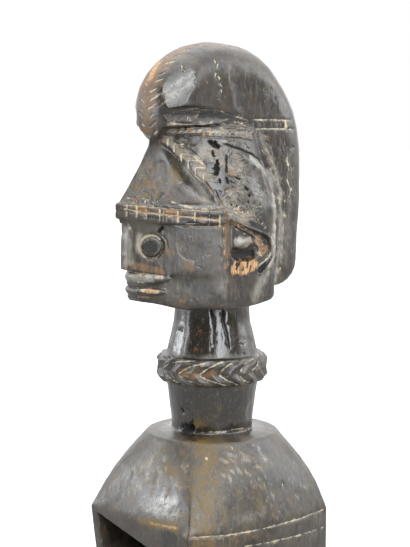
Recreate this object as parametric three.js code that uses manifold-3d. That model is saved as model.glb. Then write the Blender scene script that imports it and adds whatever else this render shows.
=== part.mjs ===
// Carved wooden figure: a crested head on a ringed neck and a hollow box-shaped trunk.
// Millimetres, +Z up. The figure faces -Y and its own left side is +X.
// The origin is on the neck's axis, in the flat cut below the trunk.
import * as THREE from 'three';
import { mergeVertices } from 'three/addons/utils/BufferGeometryUtils.js';
import Module from 'manifold-3d';

// Driving dimensions
const HEIGHT = 361.5;          // flat cut to the top of the crest
const RIM_Z = 58;              // edge where the shoulders turn down into the trunk
const DISC_Z = 110;            // small flat top of the shoulders, round the neck's foot
const RING_Z = 152.5;          // middle of the plaited ring
const JAW_Z = 194.3;           // lowest line of the jaw
const NOSE_FOOT_Z = 219.8;     // underside of the nose and cheeks, over the lips
const BROW_LOW_Z = 248;        // lower edge of the banded brow
const BROW_TOP_Z = 258;        // upper edge of the banded brow
const GROOVE_Z = 306.5;        // groove between the temples and the crest

const TRUNK_FRONT = 60.5;      // axis to the flat front face, at the rim
const TRUNK_SKEW = 2.2;        // the face is cut askew: its right corner stands forward, its left back
const TRUNK_BACK = 57;         // axis to the back face, at the rim
const TRUNK_HALF = 50;         // half width at the corners
const TRUNK_BULGE = 61.5;      // half width at the fullest point of the sides
const TRUNK_LEAN = 7;          // how far the front face runs back from the rim to the cut
const BACK_CROWN = 4;          // how far the back face bulges in the middle
const SHOULDER_SWELL = [1.5, 7]; // how full the shoulders are, over the trunk's flats and its corners
const WALL = 8;                // wall round the hollow chest
const FLOOR = 12;              // wood left under the hollow chest
const LINTEL = [3.4, 25];      // face left over the chest's opening, at its right end and its left
const DISC_R = 42.5;           // radius of the shoulders' flat top
const NECK_FOOT_R = 26.5;
const NECK_WAIST_R = 30;       // at the ring
const NECK_TOP_R = 23.5;       // where it enters the jaw
const NECK_FACETS = 24;        // flat tool cuts round the neck
const RING_R = 37;             // outermost radius of the plait
const RING_HEIGHT = 18;
const RING_LOBES = 18;
const LOBE_RELIEF = 1.3;       // height of a lobe over its neighbours' valleys, either way
const LOBE_SWEEP = 0.8;        // how far a lobe runs round from the V to the ring's edge, in lobes

const NOSE_FRONT = 69.5;       // axis to the front of the flat nose
const NOSE_HALF = 4;
const CHIN_BACK = 6.5;         // how far the jaw stands behind the nose
const CHIN_RISE = 5.4;         // how far the jaw line rises to the chin
const CHEEK_HALF = 38;         // half width of the head at the ears
const EAR_LINE = 18;           // how far in front of the axis the cheek meets the side
const BROW_TIP = 76.3;         // axis to the tip of the brow
const FOREHEAD_FRONT = 50.5;   // axis to the forehead's keel, just under the crest
const CREST_HALF = 24;         // half thickness of the crest and of the hair behind
const CREST_FRONT = 54;
const CREST_ROUNDING = 17;     // how far its sides lie inside its outline
const CREST_BACK = 64.5;
const UNDERCUT_Z = 315.5;      // middle of the hollow along the crest's side
const EYE_R = 6.5;
const EYE = [13.1, -58.1, 235];
const EYE_TURN = 0.98;         // the cheek's direction at the eye, from the side view
const LIP_CORNERS = [[21, -48], [19, -50]];   // where the upper and the lower lip fade out
const SCOOP_DEPTH = 3.4;       // hollow beside the nose's root
const EAR_Z = 230;
const BLOCKS = [7.8, 5.5, 6.2, 9.3, 10.4, 10.5, 8.2, 7];  // blocks of the brow band, tip to ear
const CHEVRONS = 6;            // cut along the edge of each temple
const CHEVRON_TOP = [302, 0.26];    // height and place round the temple of the first chevron
const CHEVRON_LOW = [278.5, 0.67];  // and of the last

const TAU = 2 * Math.PI;
const mix = THREE.MathUtils.lerp;
const ease = (t) => THREE.MathUtils.smoothstep(t, 0, 1);

const wasm = await Module();
wasm.setup();

// A closed geometry as a solid that can be joined and cut
function solid(geometry) {
  geometry.deleteAttribute('normal');
  geometry.deleteAttribute('uv');
  const merged = mergeVertices(geometry, 1e-4);
  const mesh = new wasm.Mesh({
    numProp: 3,
    vertProperties: new Float32Array(merged.attributes.position.array),
    triVerts: new Uint32Array(merged.index.array),
  });
  return new wasm.Manifold(mesh);
}

function geometryOf(body) {
  const mesh = body.getMesh();
  const geometry = new THREE.BufferGeometry();
  geometry.setAttribute('position', new THREE.BufferAttribute(mesh.vertProperties, 3));
  geometry.setIndex(new THREE.BufferAttribute(mesh.triVerts, 1));
  geometry.computeVertexNormals();
  return geometry;
}

const joined = (bodies) => bodies.reduce((sum, body) => sum.add(body));

// A skin over rings of equal count, lowest first, each anticlockwise from above, with flat ends
function loft(rings) {
  const around = rings[0].length;
  const up = rings.length - 1;
  const geometry = new THREE.CylinderGeometry(1, 1, up, around, up);
  const spot = geometry.attributes.position;
  for (let i = 0; i < spot.count; i += 1) {
    const ring = rings[Math.round(spot.getY(i) + up / 2)];
    const turn = Math.atan2(spot.getX(i), spot.getZ(i)) / TAU;
    const column = (Math.round(turn * around) + around) % around;
    const onAxis = Math.hypot(spot.getX(i), spot.getZ(i)) < 0.5;
    const middle = ring.reduce((sum, p) => sum.add(p), new THREE.Vector3()).divideScalar(around);
    const point = onAxis ? middle : ring[column];
    spot.setXYZ(i, point.x, point.y, point.z);
  }
  return geometry;
}

// The left half of a plan, front to back, completed by its mirror image
function bothSides(half) {
  const back = half.slice(1, -1).reverse().map((p) => new THREE.Vector2(-p.x, p.y));
  return [...half, ...back];
}

const atHeight = (plan, height) => plan.map((p) => new THREE.Vector3(p.x, p.y, height(p.x, p.y)));

// Points along straight and curved stretches; each stretch is [count, control points]
function stretches(list) {
  const points = [];
  for (const [count, ...knots] of list) {
    const [a, b, c] = knots.map(([x, y]) => new THREE.Vector2(x, y));
    const curve = c ? new THREE.QuadraticBezierCurve(a, b, c) : new THREE.LineCurve(a, b);
    points.push(...curve.getPoints(count).slice(points.length ? 1 : 0));
  }
  return points;
}

const mirrored = (geometry) => {
  const other = geometry.clone();
  other.scale(-1, 1, 1);
  const index = other.index ? other.index.array : null;
  if (index) {
    for (let i = 0; i < index.length; i += 3) [index[i], index[i + 1]] = [index[i + 1], index[i]];
  } else {
    const spot = other.attributes.position;
    for (let i = 0; i < spot.count; i += 3) {
      const [a, b] = [0, 1].map((k) => new THREE.Vector3().fromBufferAttribute(spot, i + k));
      spot.setXYZ(i, b.x, b.y, b.z);
      spot.setXYZ(i + 1, a.x, a.y, a.z);
    }
  }
  return other;
};

// The same thing on both sides of the face
const pair = (geometry) => solid(mirrored(geometry)).add(solid(geometry));

// Trunk: a box with full sides, closed by shoulders that run up to a round flat top
function trunk() {
  const lean = (z) => TRUNK_LEAN * (1 - z / RIM_Z);
  const boxPlan = (z) => bothSides(stretches([
    [6, [0, lean(z) - TRUNK_FRONT], [TRUNK_HALF, lean(z) - TRUNK_FRONT]],
    [12, [TRUNK_HALF, lean(z) - TRUNK_FRONT], [2 * TRUNK_BULGE - TRUNK_HALF, -15], [TRUNK_HALF, TRUNK_BACK]],
    [5, [TRUNK_HALF, TRUNK_BACK], [TRUNK_HALF / 2, TRUNK_BACK + BACK_CROWN], [0, TRUNK_BACK + BACK_CROWN]],
  ])).map((p) => p.setY(p.y + TRUNK_SKEW * (p.x / TRUNK_HALF) * ease(-p.y / TRUNK_FRONT)));
  const rings = [0, RIM_Z / 2, RIM_Z].map((z) => atHeight(boxPlan(z), () => z));
  const rim = boxPlan(RIM_Z);
  const steps = 6;
  for (let i = 1; i <= steps; i += 1) {
    const t = i / steps;
    const z = mix(RIM_Z, DISC_Z, t);
    const roundness = 1 - (1 - t) ** 1.5;
    rings.push(rim.map((p) => {
      const corner = ease((p.length() - TRUNK_FRONT) / 15);
      const swell = mix(...SHOULDER_SWELL, corner) * Math.sin(Math.PI * t);
      const reach = mix(p.length(), DISC_R, t);
      const even = mix(TRUNK_BULGE + 8, DISC_R, t);
      const r = mix(reach, Math.min(reach, even), roundness) + swell;
      return new THREE.Vector3(p.x, p.y, 0).setLength(r).setZ(z);
    }));
  }
  rings.push(rim.map((p) => new THREE.Vector3(p.x, p.y, 0).setLength(NECK_FOOT_R).setZ(DISC_Z + 1.5)));
  return solid(loft(rings)).subtract(chestHollow());
}

// The chest is hollowed from the front, under a slanting upper edge
function chestHollow() {
  const right = -(TRUNK_HALF - WALL + 2);
  const left = TRUNK_HALF - WALL;
  const opening = new THREE.Shape();
  opening.moveTo(right + 1, FLOOR);
  opening.lineTo(left, FLOOR);
  opening.lineTo(left, RIM_Z - LINTEL[1]);
  opening.lineTo(right, RIM_Z - LINTEL[0]);
  opening.closePath();
  const depth = TRUNK_FRONT + TRUNK_BACK - WALL + 6;
  const geometry = new THREE.ExtrudeGeometry(opening, { depth, bevelEnabled: false });
  geometry.rotateX(Math.PI / 2);
  geometry.translate(0, TRUNK_BACK - WALL, 0);
  return solid(geometry);
}

// Neck: faceted, widest at the ring, standing on the shoulders and running up into the jaw
function neck() {
  const profile = [
    [0, DISC_Z - 6], [NECK_FOOT_R, DISC_Z - 6], [NECK_FOOT_R, DISC_Z + 3], [NECK_FOOT_R + 0.4, DISC_Z + 10],
    [NECK_WAIST_R, RING_Z - 9], [NECK_WAIST_R + 1, RING_Z], [NECK_WAIST_R - 0.5, RING_Z + 11],
    [NECK_TOP_R + 1.6, JAW_Z - 12], [NECK_TOP_R, JAW_Z + 8], [0, JAW_Z + 8],
  ].map(([r, z]) => new THREE.Vector2(r, z));
  const geometry = new THREE.LatheGeometry(profile, NECK_FACETS);
  geometry.rotateX(Math.PI / 2);
  return solid(geometry);
}

// Plaited ring: two rows of lobes that meet in a V all the way round. The columns of
// the surface follow the V, so that each lobe has a crest and a valley of its own.
function ring() {
  const across = 10;
  const perLobe = 4;
  const geometry = new THREE.TorusGeometry(NECK_WAIST_R, 1, across, RING_LOBES * perLobe);
  const spot = geometry.attributes.position;
  for (let i = 0; i < spot.count; i += 1) {
    const column = Math.atan2(spot.getY(i), spot.getX(i));
    const out = Math.hypot(spot.getX(i), spot.getY(i)) - NECK_WAIST_R;
    const rise = spot.getZ(i);
    const lobe = out > 0.1 ? LOBE_RELIEF * Math.cos(RING_LOBES * column) * Math.sqrt(out) : 0;
    const reach = out > 0 ? (RING_R - NECK_WAIST_R - 0.8) * Math.sqrt(out) : 4 * out;
    const valley = out > 0.1 ? 1.2 * Math.exp(-((rise / 0.2) ** 2)) : 0;
    const r = NECK_WAIST_R + reach + lobe - valley;
    const turn = column + LOBE_SWEEP * (TAU / RING_LOBES) * Math.abs(rise);
    spot.setXYZ(i, r * Math.cos(turn), r * Math.sin(turn), RING_Z + (RING_HEIGHT / 2) * rise);
  }
  return solid(geometry);
}

// Plan of the face: narrow flat nose, cheeks that run straight back to the ears, rounded behind
function facePlan(front, noseHalf, bulge) {
  const cheek = new THREE.Vector2((noseHalf + CHEEK_HALF) / 2, -(front + EAR_LINE) / 2);
  const out = new THREE.Vector2(front - EAR_LINE, -(CHEEK_HALF - noseHalf)).setLength(2 * bulge);
  cheek.add(out);
  return bothSides(stretches([
    [1, [0, -front - 0.5], [noseHalf, -front]],
    [8, [noseHalf, -front], [cheek.x, cheek.y], [CHEEK_HALF, -EAR_LINE]],
    [3, [CHEEK_HALF, -EAR_LINE], [CHEEK_HALF + 1.5, 4], [CHEEK_HALF - 1, 20]],
    [3, [CHEEK_HALF - 1, 20], [CHEEK_HALF - 3, 26], [26, 29]],
    [2, [26, 29], [0, 32]],
  ]));
}

function face() {
  const slant = (z) => (x, y) => z - 3.3 * THREE.MathUtils.clamp((y + NOSE_FRONT) / 22, 0, 1.2);
  const upper = facePlan(NOSE_FRONT, NOSE_HALF, 2.2);
  const upperRings = [
    atHeight(upper, slant(NOSE_FOOT_Z)),
    atHeight(upper, slant(NOSE_FOOT_Z + 15)),
    atHeight(facePlan(NOSE_FRONT - 0.8, NOSE_HALF, 2.2), () => BROW_LOW_Z - 3),
    atHeight(facePlan(NOSE_FRONT - 0.8, NOSE_HALF, 2.2), () => BROW_TOP_Z),
  ];
  // The underside of the jaw rises to the chin and, less, to the nape
  const jawLine = (x, y) => JAW_Z + CHIN_RISE * ease((-y - 34) / 30) + 3.2 * ease((y + 2) / 26);
  const lower = facePlan(NOSE_FRONT - CHIN_BACK, NOSE_HALF + 3, 0.6);
  const inset = (plan, by) => plan.map((p) => p.clone().setLength(p.length() - by));
  const lowerRings = [
    atHeight(inset(lower, 7), (x, y) => jawLine(x, y) + 0.4),
    atHeight(inset(lower, 2), jawLine),
    atHeight(inset(lower, 0.5), (x, y) => jawLine(x, y) + 2),
    atHeight(lower, (x, y) => jawLine(x, y) + 6),
    atHeight(lower, () => NOSE_FOOT_Z + 6),
  ];
  return solid(loft(upperRings)).add(solid(loft(lowerRings)));
}

// A bar along a level line, thickest in the middle and fading out at both ends
function bar(points, thick, reach, steps) {
  const path = new THREE.CatmullRomCurve3(points.map((p) => new THREE.Vector3(...p)));
  const rings = [];
  for (let i = 0; i <= steps; i += 1) {
    const t = i / steps;
    const along = path.getTangentAt(t);
    const out = new THREE.Vector3(along.y, -along.x, 0).normalize();
    const size = Math.max(0.15, Math.sin(Math.PI * t) ** 0.5);
    rings.push([0, 1, 2, 3, 4, 5, 6, 7].map((k) => {
      const a = (-k / 8) * TAU;
      return path.getPointAt(t)
        .addScaledVector(out, reach * size * Math.cos(a))
        .add(new THREE.Vector3(0, 0, (thick / 2) * size * Math.sin(a)));
    }));
  }
  return loft(rings);
}

// A lip, round the front of the jaw to the corners of the mouth
function lip(z, thick, reach, corner) {
  const half = [[...corner, z], [13, -55, z], [6.5, -61, z]];
  const other = half.map(([x, y]) => [-x, y, z]);
  return solid(bar([...other, [0, -61.9, z], ...half.reverse()], thick, reach, 18));
}

// One side of a brow-shaped plan, from its tip round to the ear
const sweep = (tip, side, ear) => [
  [0, -tip], [side * 0.74, -(tip + ear) / 2 - (tip - ear) * 0.035], [side, -ear],
];

// A shallow three-cornered scoop: its corners lie on the surface it is cut from
function dish(corners, depth) {
  const [a, b, c] = corners;
  const out = new THREE.Vector3().crossVectors(b.clone().sub(a), c.clone().sub(a)).normalize();
  const middle = a.clone().add(b).add(c).divideScalar(3);
  const edge = [[a, b], [b, c], [c, a]].flatMap(([from, to]) => (
    [0, 0.25, 0.5, 0.75].map((t) => from.clone().lerp(to, t))));
  const levels = [[-depth, 0.15], [-0.88 * depth, 0.4], [-0.5 * depth, 0.74], [0.4, 1], [6, 1.15]];
  return loft(levels.map(([level, size]) => (
    edge.map((p) => middle.clone().lerp(p, size).addScaledVector(out, level)))));
}

// Forehead sections: height, keel, half width, where the side begins, where it ends
const FOREHEAD = [
  [BROW_LOW_Z + 1, BROW_TIP - 3.5, CHEEK_HALF - 1.5, EAR_LINE - 1, 20],
  [BROW_TOP_Z - 2, BROW_TIP - 2.5, CHEEK_HALF - 1, EAR_LINE - 1, 20],
  [BROW_TOP_Z + 4, BROW_TIP - 3, CHEEK_HALF - 1, EAR_LINE - 1, 20],
  [BROW_TOP_Z + 14, BROW_TIP - 10.5, CHEEK_HALF - 2.5, EAR_LINE - 3, 17],
  [BROW_TOP_Z + 28, FOREHEAD_FRONT + 6, CHEEK_HALF - 5, EAR_LINE - 6, 12],
  [GROOVE_Z - 10, FOREHEAD_FRONT, CHEEK_HALF - 7, EAR_LINE - 8, 10],
  [GROOVE_Z, FOREHEAD_FRONT - 1.5, CHEEK_HALF - 8.5, EAR_LINE - 8, 8],
  [GROOVE_Z + 2.5, FOREHEAD_FRONT - 10, CHEEK_HALF - 17, EAR_LINE - 8, 4],
];

// A point of the left temple at a height, from the keel at 0 round to the side at 1
function templePoint(z, along) {
  const above = FOREHEAD.findIndex((level) => level[0] >= z);
  const [low, high] = [FOREHEAD[above - 1], FOREHEAD[above]];
  const share = (z - low[0]) / (high[0] - low[0]);
  const [front, side, ear] = [1, 2, 3].map((k) => mix(low[k], high[k], share));
  const [a, b, c] = sweep(front, side, ear).map(([x, y]) => new THREE.Vector2(x, y));
  const spot = new THREE.QuadraticBezierCurve(a, b, c).getPoint(along);
  return new THREE.Vector3(spot.x, spot.y, z);
}

// Forehead: a keel that slopes forward from under the crest to the tip of the brow
function forehead() {
  const plan = (front, side, ear, back) => bothSides(stretches([
    [8, ...sweep(front, side, ear)],
    [3, [side, -ear], [side + 1.5, 2], [side - 1, back]],
    [3, [side - 1, back], [side - 5, back + 12], [0, back + 14]],
  ]));
  const rings = FOREHEAD.map(([z, ...sizes]) => atHeight(plan(...sizes), () => z));
  const corners = [templePoint(298, 0.13), templePoint(260.5, 0.31), templePoint(260.5, 0.9)];
  return solid(loft(rings)).subtract(pair(dish(corners, SCOOP_DEPTH)));
}

// Centre line of the brow band on the left side, from the tip to the ear
const browLine = new THREE.QuadraticBezierCurve(
  ...sweep(BROW_TIP, CHEEK_HALF + 1.2, EAR_LINE).map(([x, y]) => new THREE.Vector2(x, y)),
);

// Brow band: two rows of squared blocks, parted by cut grooves
function browBand() {
  const rise = (y) => 4 * ease((-y - 45) / 32);
  const behind = [[CHEEK_HALF - 6, 3 - EAR_LINE], [0, 0]].map(([x, y]) => new THREE.Vector2(x, y));
  const plan = bothSides([...browLine.getPoints(12), ...behind]);
  const inset = (by) => plan.map((p) => p.clone().setLength(Math.max(0, p.length() - by)));
  const rows = [[0, 1.8], [0.08, 0.3], [0.42, 0.3], [0.5, 1.6], [0.58, 0.3], [0.92, 0.3], [1, 1.8]];
  const band = solid(loft(rows.map(([level, by]) => (
    atHeight(inset(by), (x, y) => mix(BROW_LOW_Z, BROW_TOP_Z, level) + rise(y))))));
  const cuts = [];
  let reach = 0;
  for (const block of BLOCKS) {
    reach += block;
    const t = reach / browLine.getLength();
    const at = browLine.getPointAt(t);
    const along = browLine.getTangentAt(t);
    const cut = new THREE.CylinderGeometry(1, 1, 14, 4, 1);
    cut.rotateX(Math.PI / 2);
    cut.rotateZ(Math.atan2(along.y, along.x));
    cut.translate(at.x, at.y, (BROW_LOW_Z + BROW_TOP_Z) / 2 + rise(at.y));
    cuts.push(pair(cut));
  }
  return band.subtract(joined(cuts));
}

// Edge of the temple from the crest down to the ear, cut with a row of chevrons
function chevronCuts() {
  const strokes = [];
  for (let i = 0; i < CHEVRONS; i += 1) {
    const t = i / (CHEVRONS - 1);
    const z = mix(CHEVRON_TOP[0], CHEVRON_LOW[0], t);
    const along = mix(CHEVRON_TOP[1], CHEVRON_LOW[1], t);
    const corner = templePoint(z, along);
    for (const end of [templePoint(z - 5, along + 0.02), templePoint(z - 1.2, along + 0.2)]) {
      const run = end.clone().sub(corner);
      const stroke = new THREE.CylinderGeometry(0.9, 0.9, run.length() + 1, 4, 1);
      stroke.applyQuaternion(new THREE.Quaternion().setFromUnitVectors(
        new THREE.Vector3(0, 1, 0), run.clone().normalize()));
      stroke.translate(...corner.clone().addScaledVector(run, 0.5).toArray());
      strokes.push(pair(stroke));
    }
  }
  return joined(strokes);
}

// Crest: a thick rounded comb from the forehead over the head, running down behind as the hair
function crest() {
  const side = new THREE.Shape();
  side.moveTo(20, JAW_Z + 9);
  side.lineTo(42, JAW_Z + 8);
  side.bezierCurveTo(54, JAW_Z + 12, 60, JAW_Z + 22, 61.5, JAW_Z + 36);
  side.bezierCurveTo(64, JAW_Z + 52, CREST_BACK, 262, CREST_BACK, 280);
  side.bezierCurveTo(CREST_BACK, 300, CREST_BACK - 3, 316, 53, 328);
  side.bezierCurveTo(44, 342, 33, 355, 16, HEIGHT - 2.5);
  side.bezierCurveTo(8, HEIGHT - 1, 0, HEIGHT, -6, HEIGHT);
  side.bezierCurveTo(-26, HEIGHT - 1, 3 - CREST_FRONT, 345, 1.5 - CREST_FRONT, 322);
  side.bezierCurveTo(1.5 - CREST_FRONT, 308, -50, 301, -44, 297);
  side.lineTo(-20, 292);
  side.lineTo(6, 262);
  side.closePath();
  const outline = side.getPoints(6).slice(0, -1);
  const outward = outline.map((p, i) => {
    const next = outline[(i + 1) % outline.length];
    const last = outline[(i + outline.length - 1) % outline.length];
    return new THREE.Vector2(next.y - last.y, last.x - next.x).normalize();
  });
  // The edge is rounded over most of the thickness, less at the nape and not where it is buried
  const layers = [-1, -0.93, -0.74, -0.42, 0, 0.42, 0.74, 0.93, 1].map((side01) => {
    const inset = CREST_ROUNDING * (1 - Math.sqrt(1 - Math.abs(side01) ** 2.6));
    return outline.map((p, i) => {
      const buried = i < 1 || i > outline.length - 3;
      const by = buried ? 0 : inset * mix(0.35, 1, ease((p.y - JAW_Z - 9) / 34));
      return new THREE.Vector3(side01 * CREST_HALF, p.x - by * outward[i].x, p.y - by * outward[i].y);
    });
  });
  return solid(loft(layers)).subtract(pair(underCrest())).subtract(pair(undercut()));
}

// In front the crest's underside rises from the forehead's keel to the temples
function underCrest() {
  const wedge = new THREE.Shape();
  wedge.moveTo(3, GROOVE_Z - 9);
  wedge.lineTo(CREST_HALF + 6, GROOVE_Z - 30);
  wedge.lineTo(CREST_HALF + 6, GROOVE_Z + 4);
  wedge.lineTo(12, GROOVE_Z + 1);
  wedge.closePath();
  const geometry = new THREE.ExtrudeGeometry(wedge, { depth: 52, bevelEnabled: false });
  geometry.rotateX(Math.PI / 2);
  geometry.translate(0, -12, 0);
  return geometry;
}

// A long hollow along the crest's side, over the temples
const undercut = () => bar(
  [[12, -60], [23, -46], [29.5, -28], [30.5, -8], [30, 18]].map(([x, y]) => [x, y, UNDERCUT_Z]), 15, 9, 12);

// A tube with a round section along a smooth line
function cord(points, radius, steps) {
  const section = new THREE.Shape(new THREE.Path().absarc(0, 0, radius, 0, TAU).getPoints(6).slice(0, 6));
  const extrudePath = new THREE.CatmullRomCurve3(points.map((p) => new THREE.Vector3(...p)));
  return new THREE.ExtrudeGeometry(section, { steps, extrudePath, bevelEnabled: false });
}

const templeCord = () => pair(cord([
  [10, -44, GROOVE_Z - 2], [19, -34.5, GROOVE_Z - 0.5], [26, -20, GROOVE_Z], [29, 0, GROOVE_Z],
  [29, 14, GROOVE_Z - 1],
], 2.2, 8));

// Eye: a round plug standing in a cut ring
function eyes() {
  const place = (geometry) => {
    geometry.rotateZ(EYE_TURN);
    geometry.translate(...EYE);
    return geometry;
  };
  const plug = place(new THREE.CylinderGeometry(EYE_R - 0.3, EYE_R - 0.3, 6, 18).translate(0, 1.6, 0));
  const ringCut = new THREE.TorusGeometry(EYE_R + 0.5, 1.1, 6, 18);
  ringCut.rotateX(Math.PI / 2);
  return { plug: pair(plug), ringCut: pair(place(ringCut)) };
}

// Ear: a C-shaped ridge, open to the front, round a deep pocket
function ears() {
  const x = CHEEK_HALF;
  const ridge = cord([
    [x - 0.5, -17, EAR_Z + 19], [x + 0.6, -5, EAR_Z + 14], [x + 0.8, 6, EAR_Z + 10],
    [x + 0.5, 13.5, EAR_Z + 6], [x + 0.5, 15.5, EAR_Z - 1], [x, 12, EAR_Z - 9], [x - 0.5, 6, EAR_Z - 13],
  ], 3.9, 12);
  const pocket = new THREE.SphereGeometry(1, 12, 8);
  pocket.scale(7.5, 12, 7);
  pocket.translate(x + 2, -3.5, EAR_Z);
  return { ridge: pair(ridge), pocket: pair(pocket) };
}

function figure() {
  const eye = eyes();
  const ear = ears();
  const head = joined([face(), forehead(), browBand()])
    .subtract(eye.ringCut)
    .add(eye.plug)
    .subtract(ear.pocket)
    .add(ear.ridge)
    .subtract(chevronCuts());
  const upperLip = lip(NOSE_FOOT_Z - 5.1, 9, 2.8, LIP_CORNERS[0]);
  const lowerLip = lip(JAW_Z + 12, 6.8, 2.6, LIP_CORNERS[1]);
  return joined([trunk(), neck(), ring(), head, upperLip, lowerLip, crest(), templeCord()]);
}

const wood = new THREE.MeshStandardMaterial({ color: 0x4a4440, roughness: 0.45, metalness: 0 });
const carvedFigure = new THREE.Mesh(geometryOf(figure()), wood);
carvedFigure.name = 'carved_figure';

const object = new THREE.Group();
object.add(carvedFigure);
export default object;
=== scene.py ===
# %% [markdown]
# # A carved wooden figure: the finish of the head and shoulders
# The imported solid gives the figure's true form: crest, brow, face, ear, ringed neck and box trunk.
# This lesson turns that faceted form into old, handled, hand-cut wood. The whole figure is one block
# of wood, so it stays one piece. It is copied, remeshed finely, worn soft, and then carved in code
# as a sculptor would: each cut moves the surface in along a line, by a width and a depth in mm.

# %% Load the frame
import math

import bmesh
import bpy
import numpy as np
from mathutils import Matrix, Vector
from mathutils.bvhtree import BVHTree
from mathutils.kdtree import KDTree


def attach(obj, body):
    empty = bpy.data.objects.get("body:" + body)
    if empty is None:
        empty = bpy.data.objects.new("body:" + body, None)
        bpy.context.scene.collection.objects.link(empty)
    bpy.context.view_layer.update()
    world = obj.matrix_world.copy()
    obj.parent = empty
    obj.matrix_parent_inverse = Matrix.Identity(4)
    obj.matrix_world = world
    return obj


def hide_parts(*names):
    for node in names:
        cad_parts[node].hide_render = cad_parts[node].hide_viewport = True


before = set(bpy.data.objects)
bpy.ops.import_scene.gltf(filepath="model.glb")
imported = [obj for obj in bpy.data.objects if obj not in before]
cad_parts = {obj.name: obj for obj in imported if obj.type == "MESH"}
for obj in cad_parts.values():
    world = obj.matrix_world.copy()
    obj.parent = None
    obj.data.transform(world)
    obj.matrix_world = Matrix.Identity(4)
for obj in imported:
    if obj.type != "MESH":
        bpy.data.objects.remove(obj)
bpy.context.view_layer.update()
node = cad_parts["carved_figure"]
scene = bpy.context.scene
MM = 0.001
SEED = 7

# %% [markdown]
# ## The camera
# The camera comes first, because the old wood's own marks, such as its cracks and worm holes, are
# given in the view: each is noted as a pixel of the reference view, and a ray through that pixel
# finds the wood. The lens and distance were fitted to the figure's outline.

# %% Camera and pixel rays
VIEW_SIZE = (410, 547)
FOCAL_PX = 1500            # focal length in the view's pixels
AZIMUTH = math.radians(52)
ELEVATION = math.radians(6.7)
DISTANCE = 975             # mm from the camera to the neck's axis
AIM_HEIGHT = 212.6         # mm; the point of the axis level with the middle of the view
AXIS_PX = 212              # where the neck's axis stands in the view

toward_camera = np.array([
    math.sin(AZIMUTH) * math.cos(ELEVATION), -math.cos(AZIMUTH) * math.cos(ELEVATION), math.sin(ELEVATION)])
camera_right = np.array([math.cos(AZIMUTH), math.sin(AZIMUTH), 0])
camera_up = np.cross(toward_camera, camera_right)
shift_mm = (AXIS_PX - VIEW_SIZE[0] / 2) / FOCAL_PX * DISTANCE
camera_spot = np.array([0, 0, AIM_HEIGHT]) + toward_camera * DISTANCE - camera_right * shift_mm

camera_data = bpy.data.cameras.new("view_camera")
camera_data.sensor_fit = "AUTO"
camera_data.sensor_width = 36
camera_data.lens = FOCAL_PX * camera_data.sensor_width / VIEW_SIZE[1]
camera = bpy.data.objects.new("view_camera", camera_data)
scene.collection.objects.link(camera)
camera.location = Vector(camera_spot * MM)
camera.rotation_mode = "QUATERNION"
camera.rotation_quaternion = Vector(-toward_camera).to_track_quat("-Z", "Y")
scene.camera = camera
print("camera at", [round(v, 1) for v in camera_spot], "mm, lens", round(camera_data.lens, 1))


def pixel_ray(x, y):
    across = (x - VIEW_SIZE[0] / 2) / FOCAL_PX
    down = (y - VIEW_SIZE[1] / 2) / FOCAL_PX
    return Vector(-toward_camera + camera_right * across - camera_up * down).normalized()


# %% [markdown]
# ## The worn block
# Old handled wood has no hard facets and no sharp corners. The copy of the solid is merged and
# remeshed to small even squares. Smoothing that left out the carved edges would keep them crisp, so
# every vertex first learns how far it is from a real edge: far from one it is smoothed many times,
# which melts the facets into a curved surface, and near one only a little, like a thumb-worn edge.

# %% Copy, merge and remesh
GRID = 0.6                 # mm between the vertices of the remeshed wood
WEIGHT_STEPS = 20          # weights are rounded, so that a group is filled in this many calls
EDGE_STEP = 0.8            # mm between the points noted on a carved edge
SHARP = math.radians(27)   # edges sharper than this are carved edges, not facets of a curve
SOFT_ROOMS = [             # two corners each, in mm, of places where an edge is soft
    ((6, -54, 262), (40, -16, 297)),       # the hollow beside the nose's root
    ((36, -24, 255), (62, 34, 264)),       # the step behind the brow band
    ((12, -62, 215), (48, 0, 221.5))]      # the cheek's foot


def object_of(mesh, name):
    made = bpy.data.objects.new(name, mesh)
    scene.collection.objects.link(made)
    return made


def with_modifiers(mesh, *settings):
    """The mesh after these modifiers, each given as its type and its values."""
    holder = object_of(mesh, "holder")
    for kind, groups, values in settings:
        for name, weights in groups.items():
            group = holder.vertex_groups.get(name) or holder.vertex_groups.new(name=name)
            steps = np.round(weights * WEIGHT_STEPS).astype(int)
            for step in range(1, WEIGHT_STEPS + 1):
                group.add(np.flatnonzero(steps == step).tolist(), step / WEIGHT_STEPS, "REPLACE")
        modifier = holder.modifiers.new(kind, kind)
        for key, value in values.items():
            setattr(modifier, key, value)
    graph = bpy.context.evaluated_depsgraph_get()
    result = bpy.data.meshes.new_from_object(holder.evaluated_get(graph))
    bpy.data.objects.remove(holder)
    return result


def rows_of(mesh, kind):
    """The vertices' places ("co") or the ways they face ("normal"), a row of X, Y, Z for each."""
    flat = np.empty(len(mesh.vertices) * 3, np.float32)
    mesh.vertices.foreach_get(kind, flat)
    return flat.reshape(-1, 3).astype(float)


def nearness(points):
    """A tree that finds the nearest of the points."""
    finder = KDTree(len(points))
    for i, point in enumerate(points):
        finder.insert(point, i)
    finder.balance()
    return finder


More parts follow.
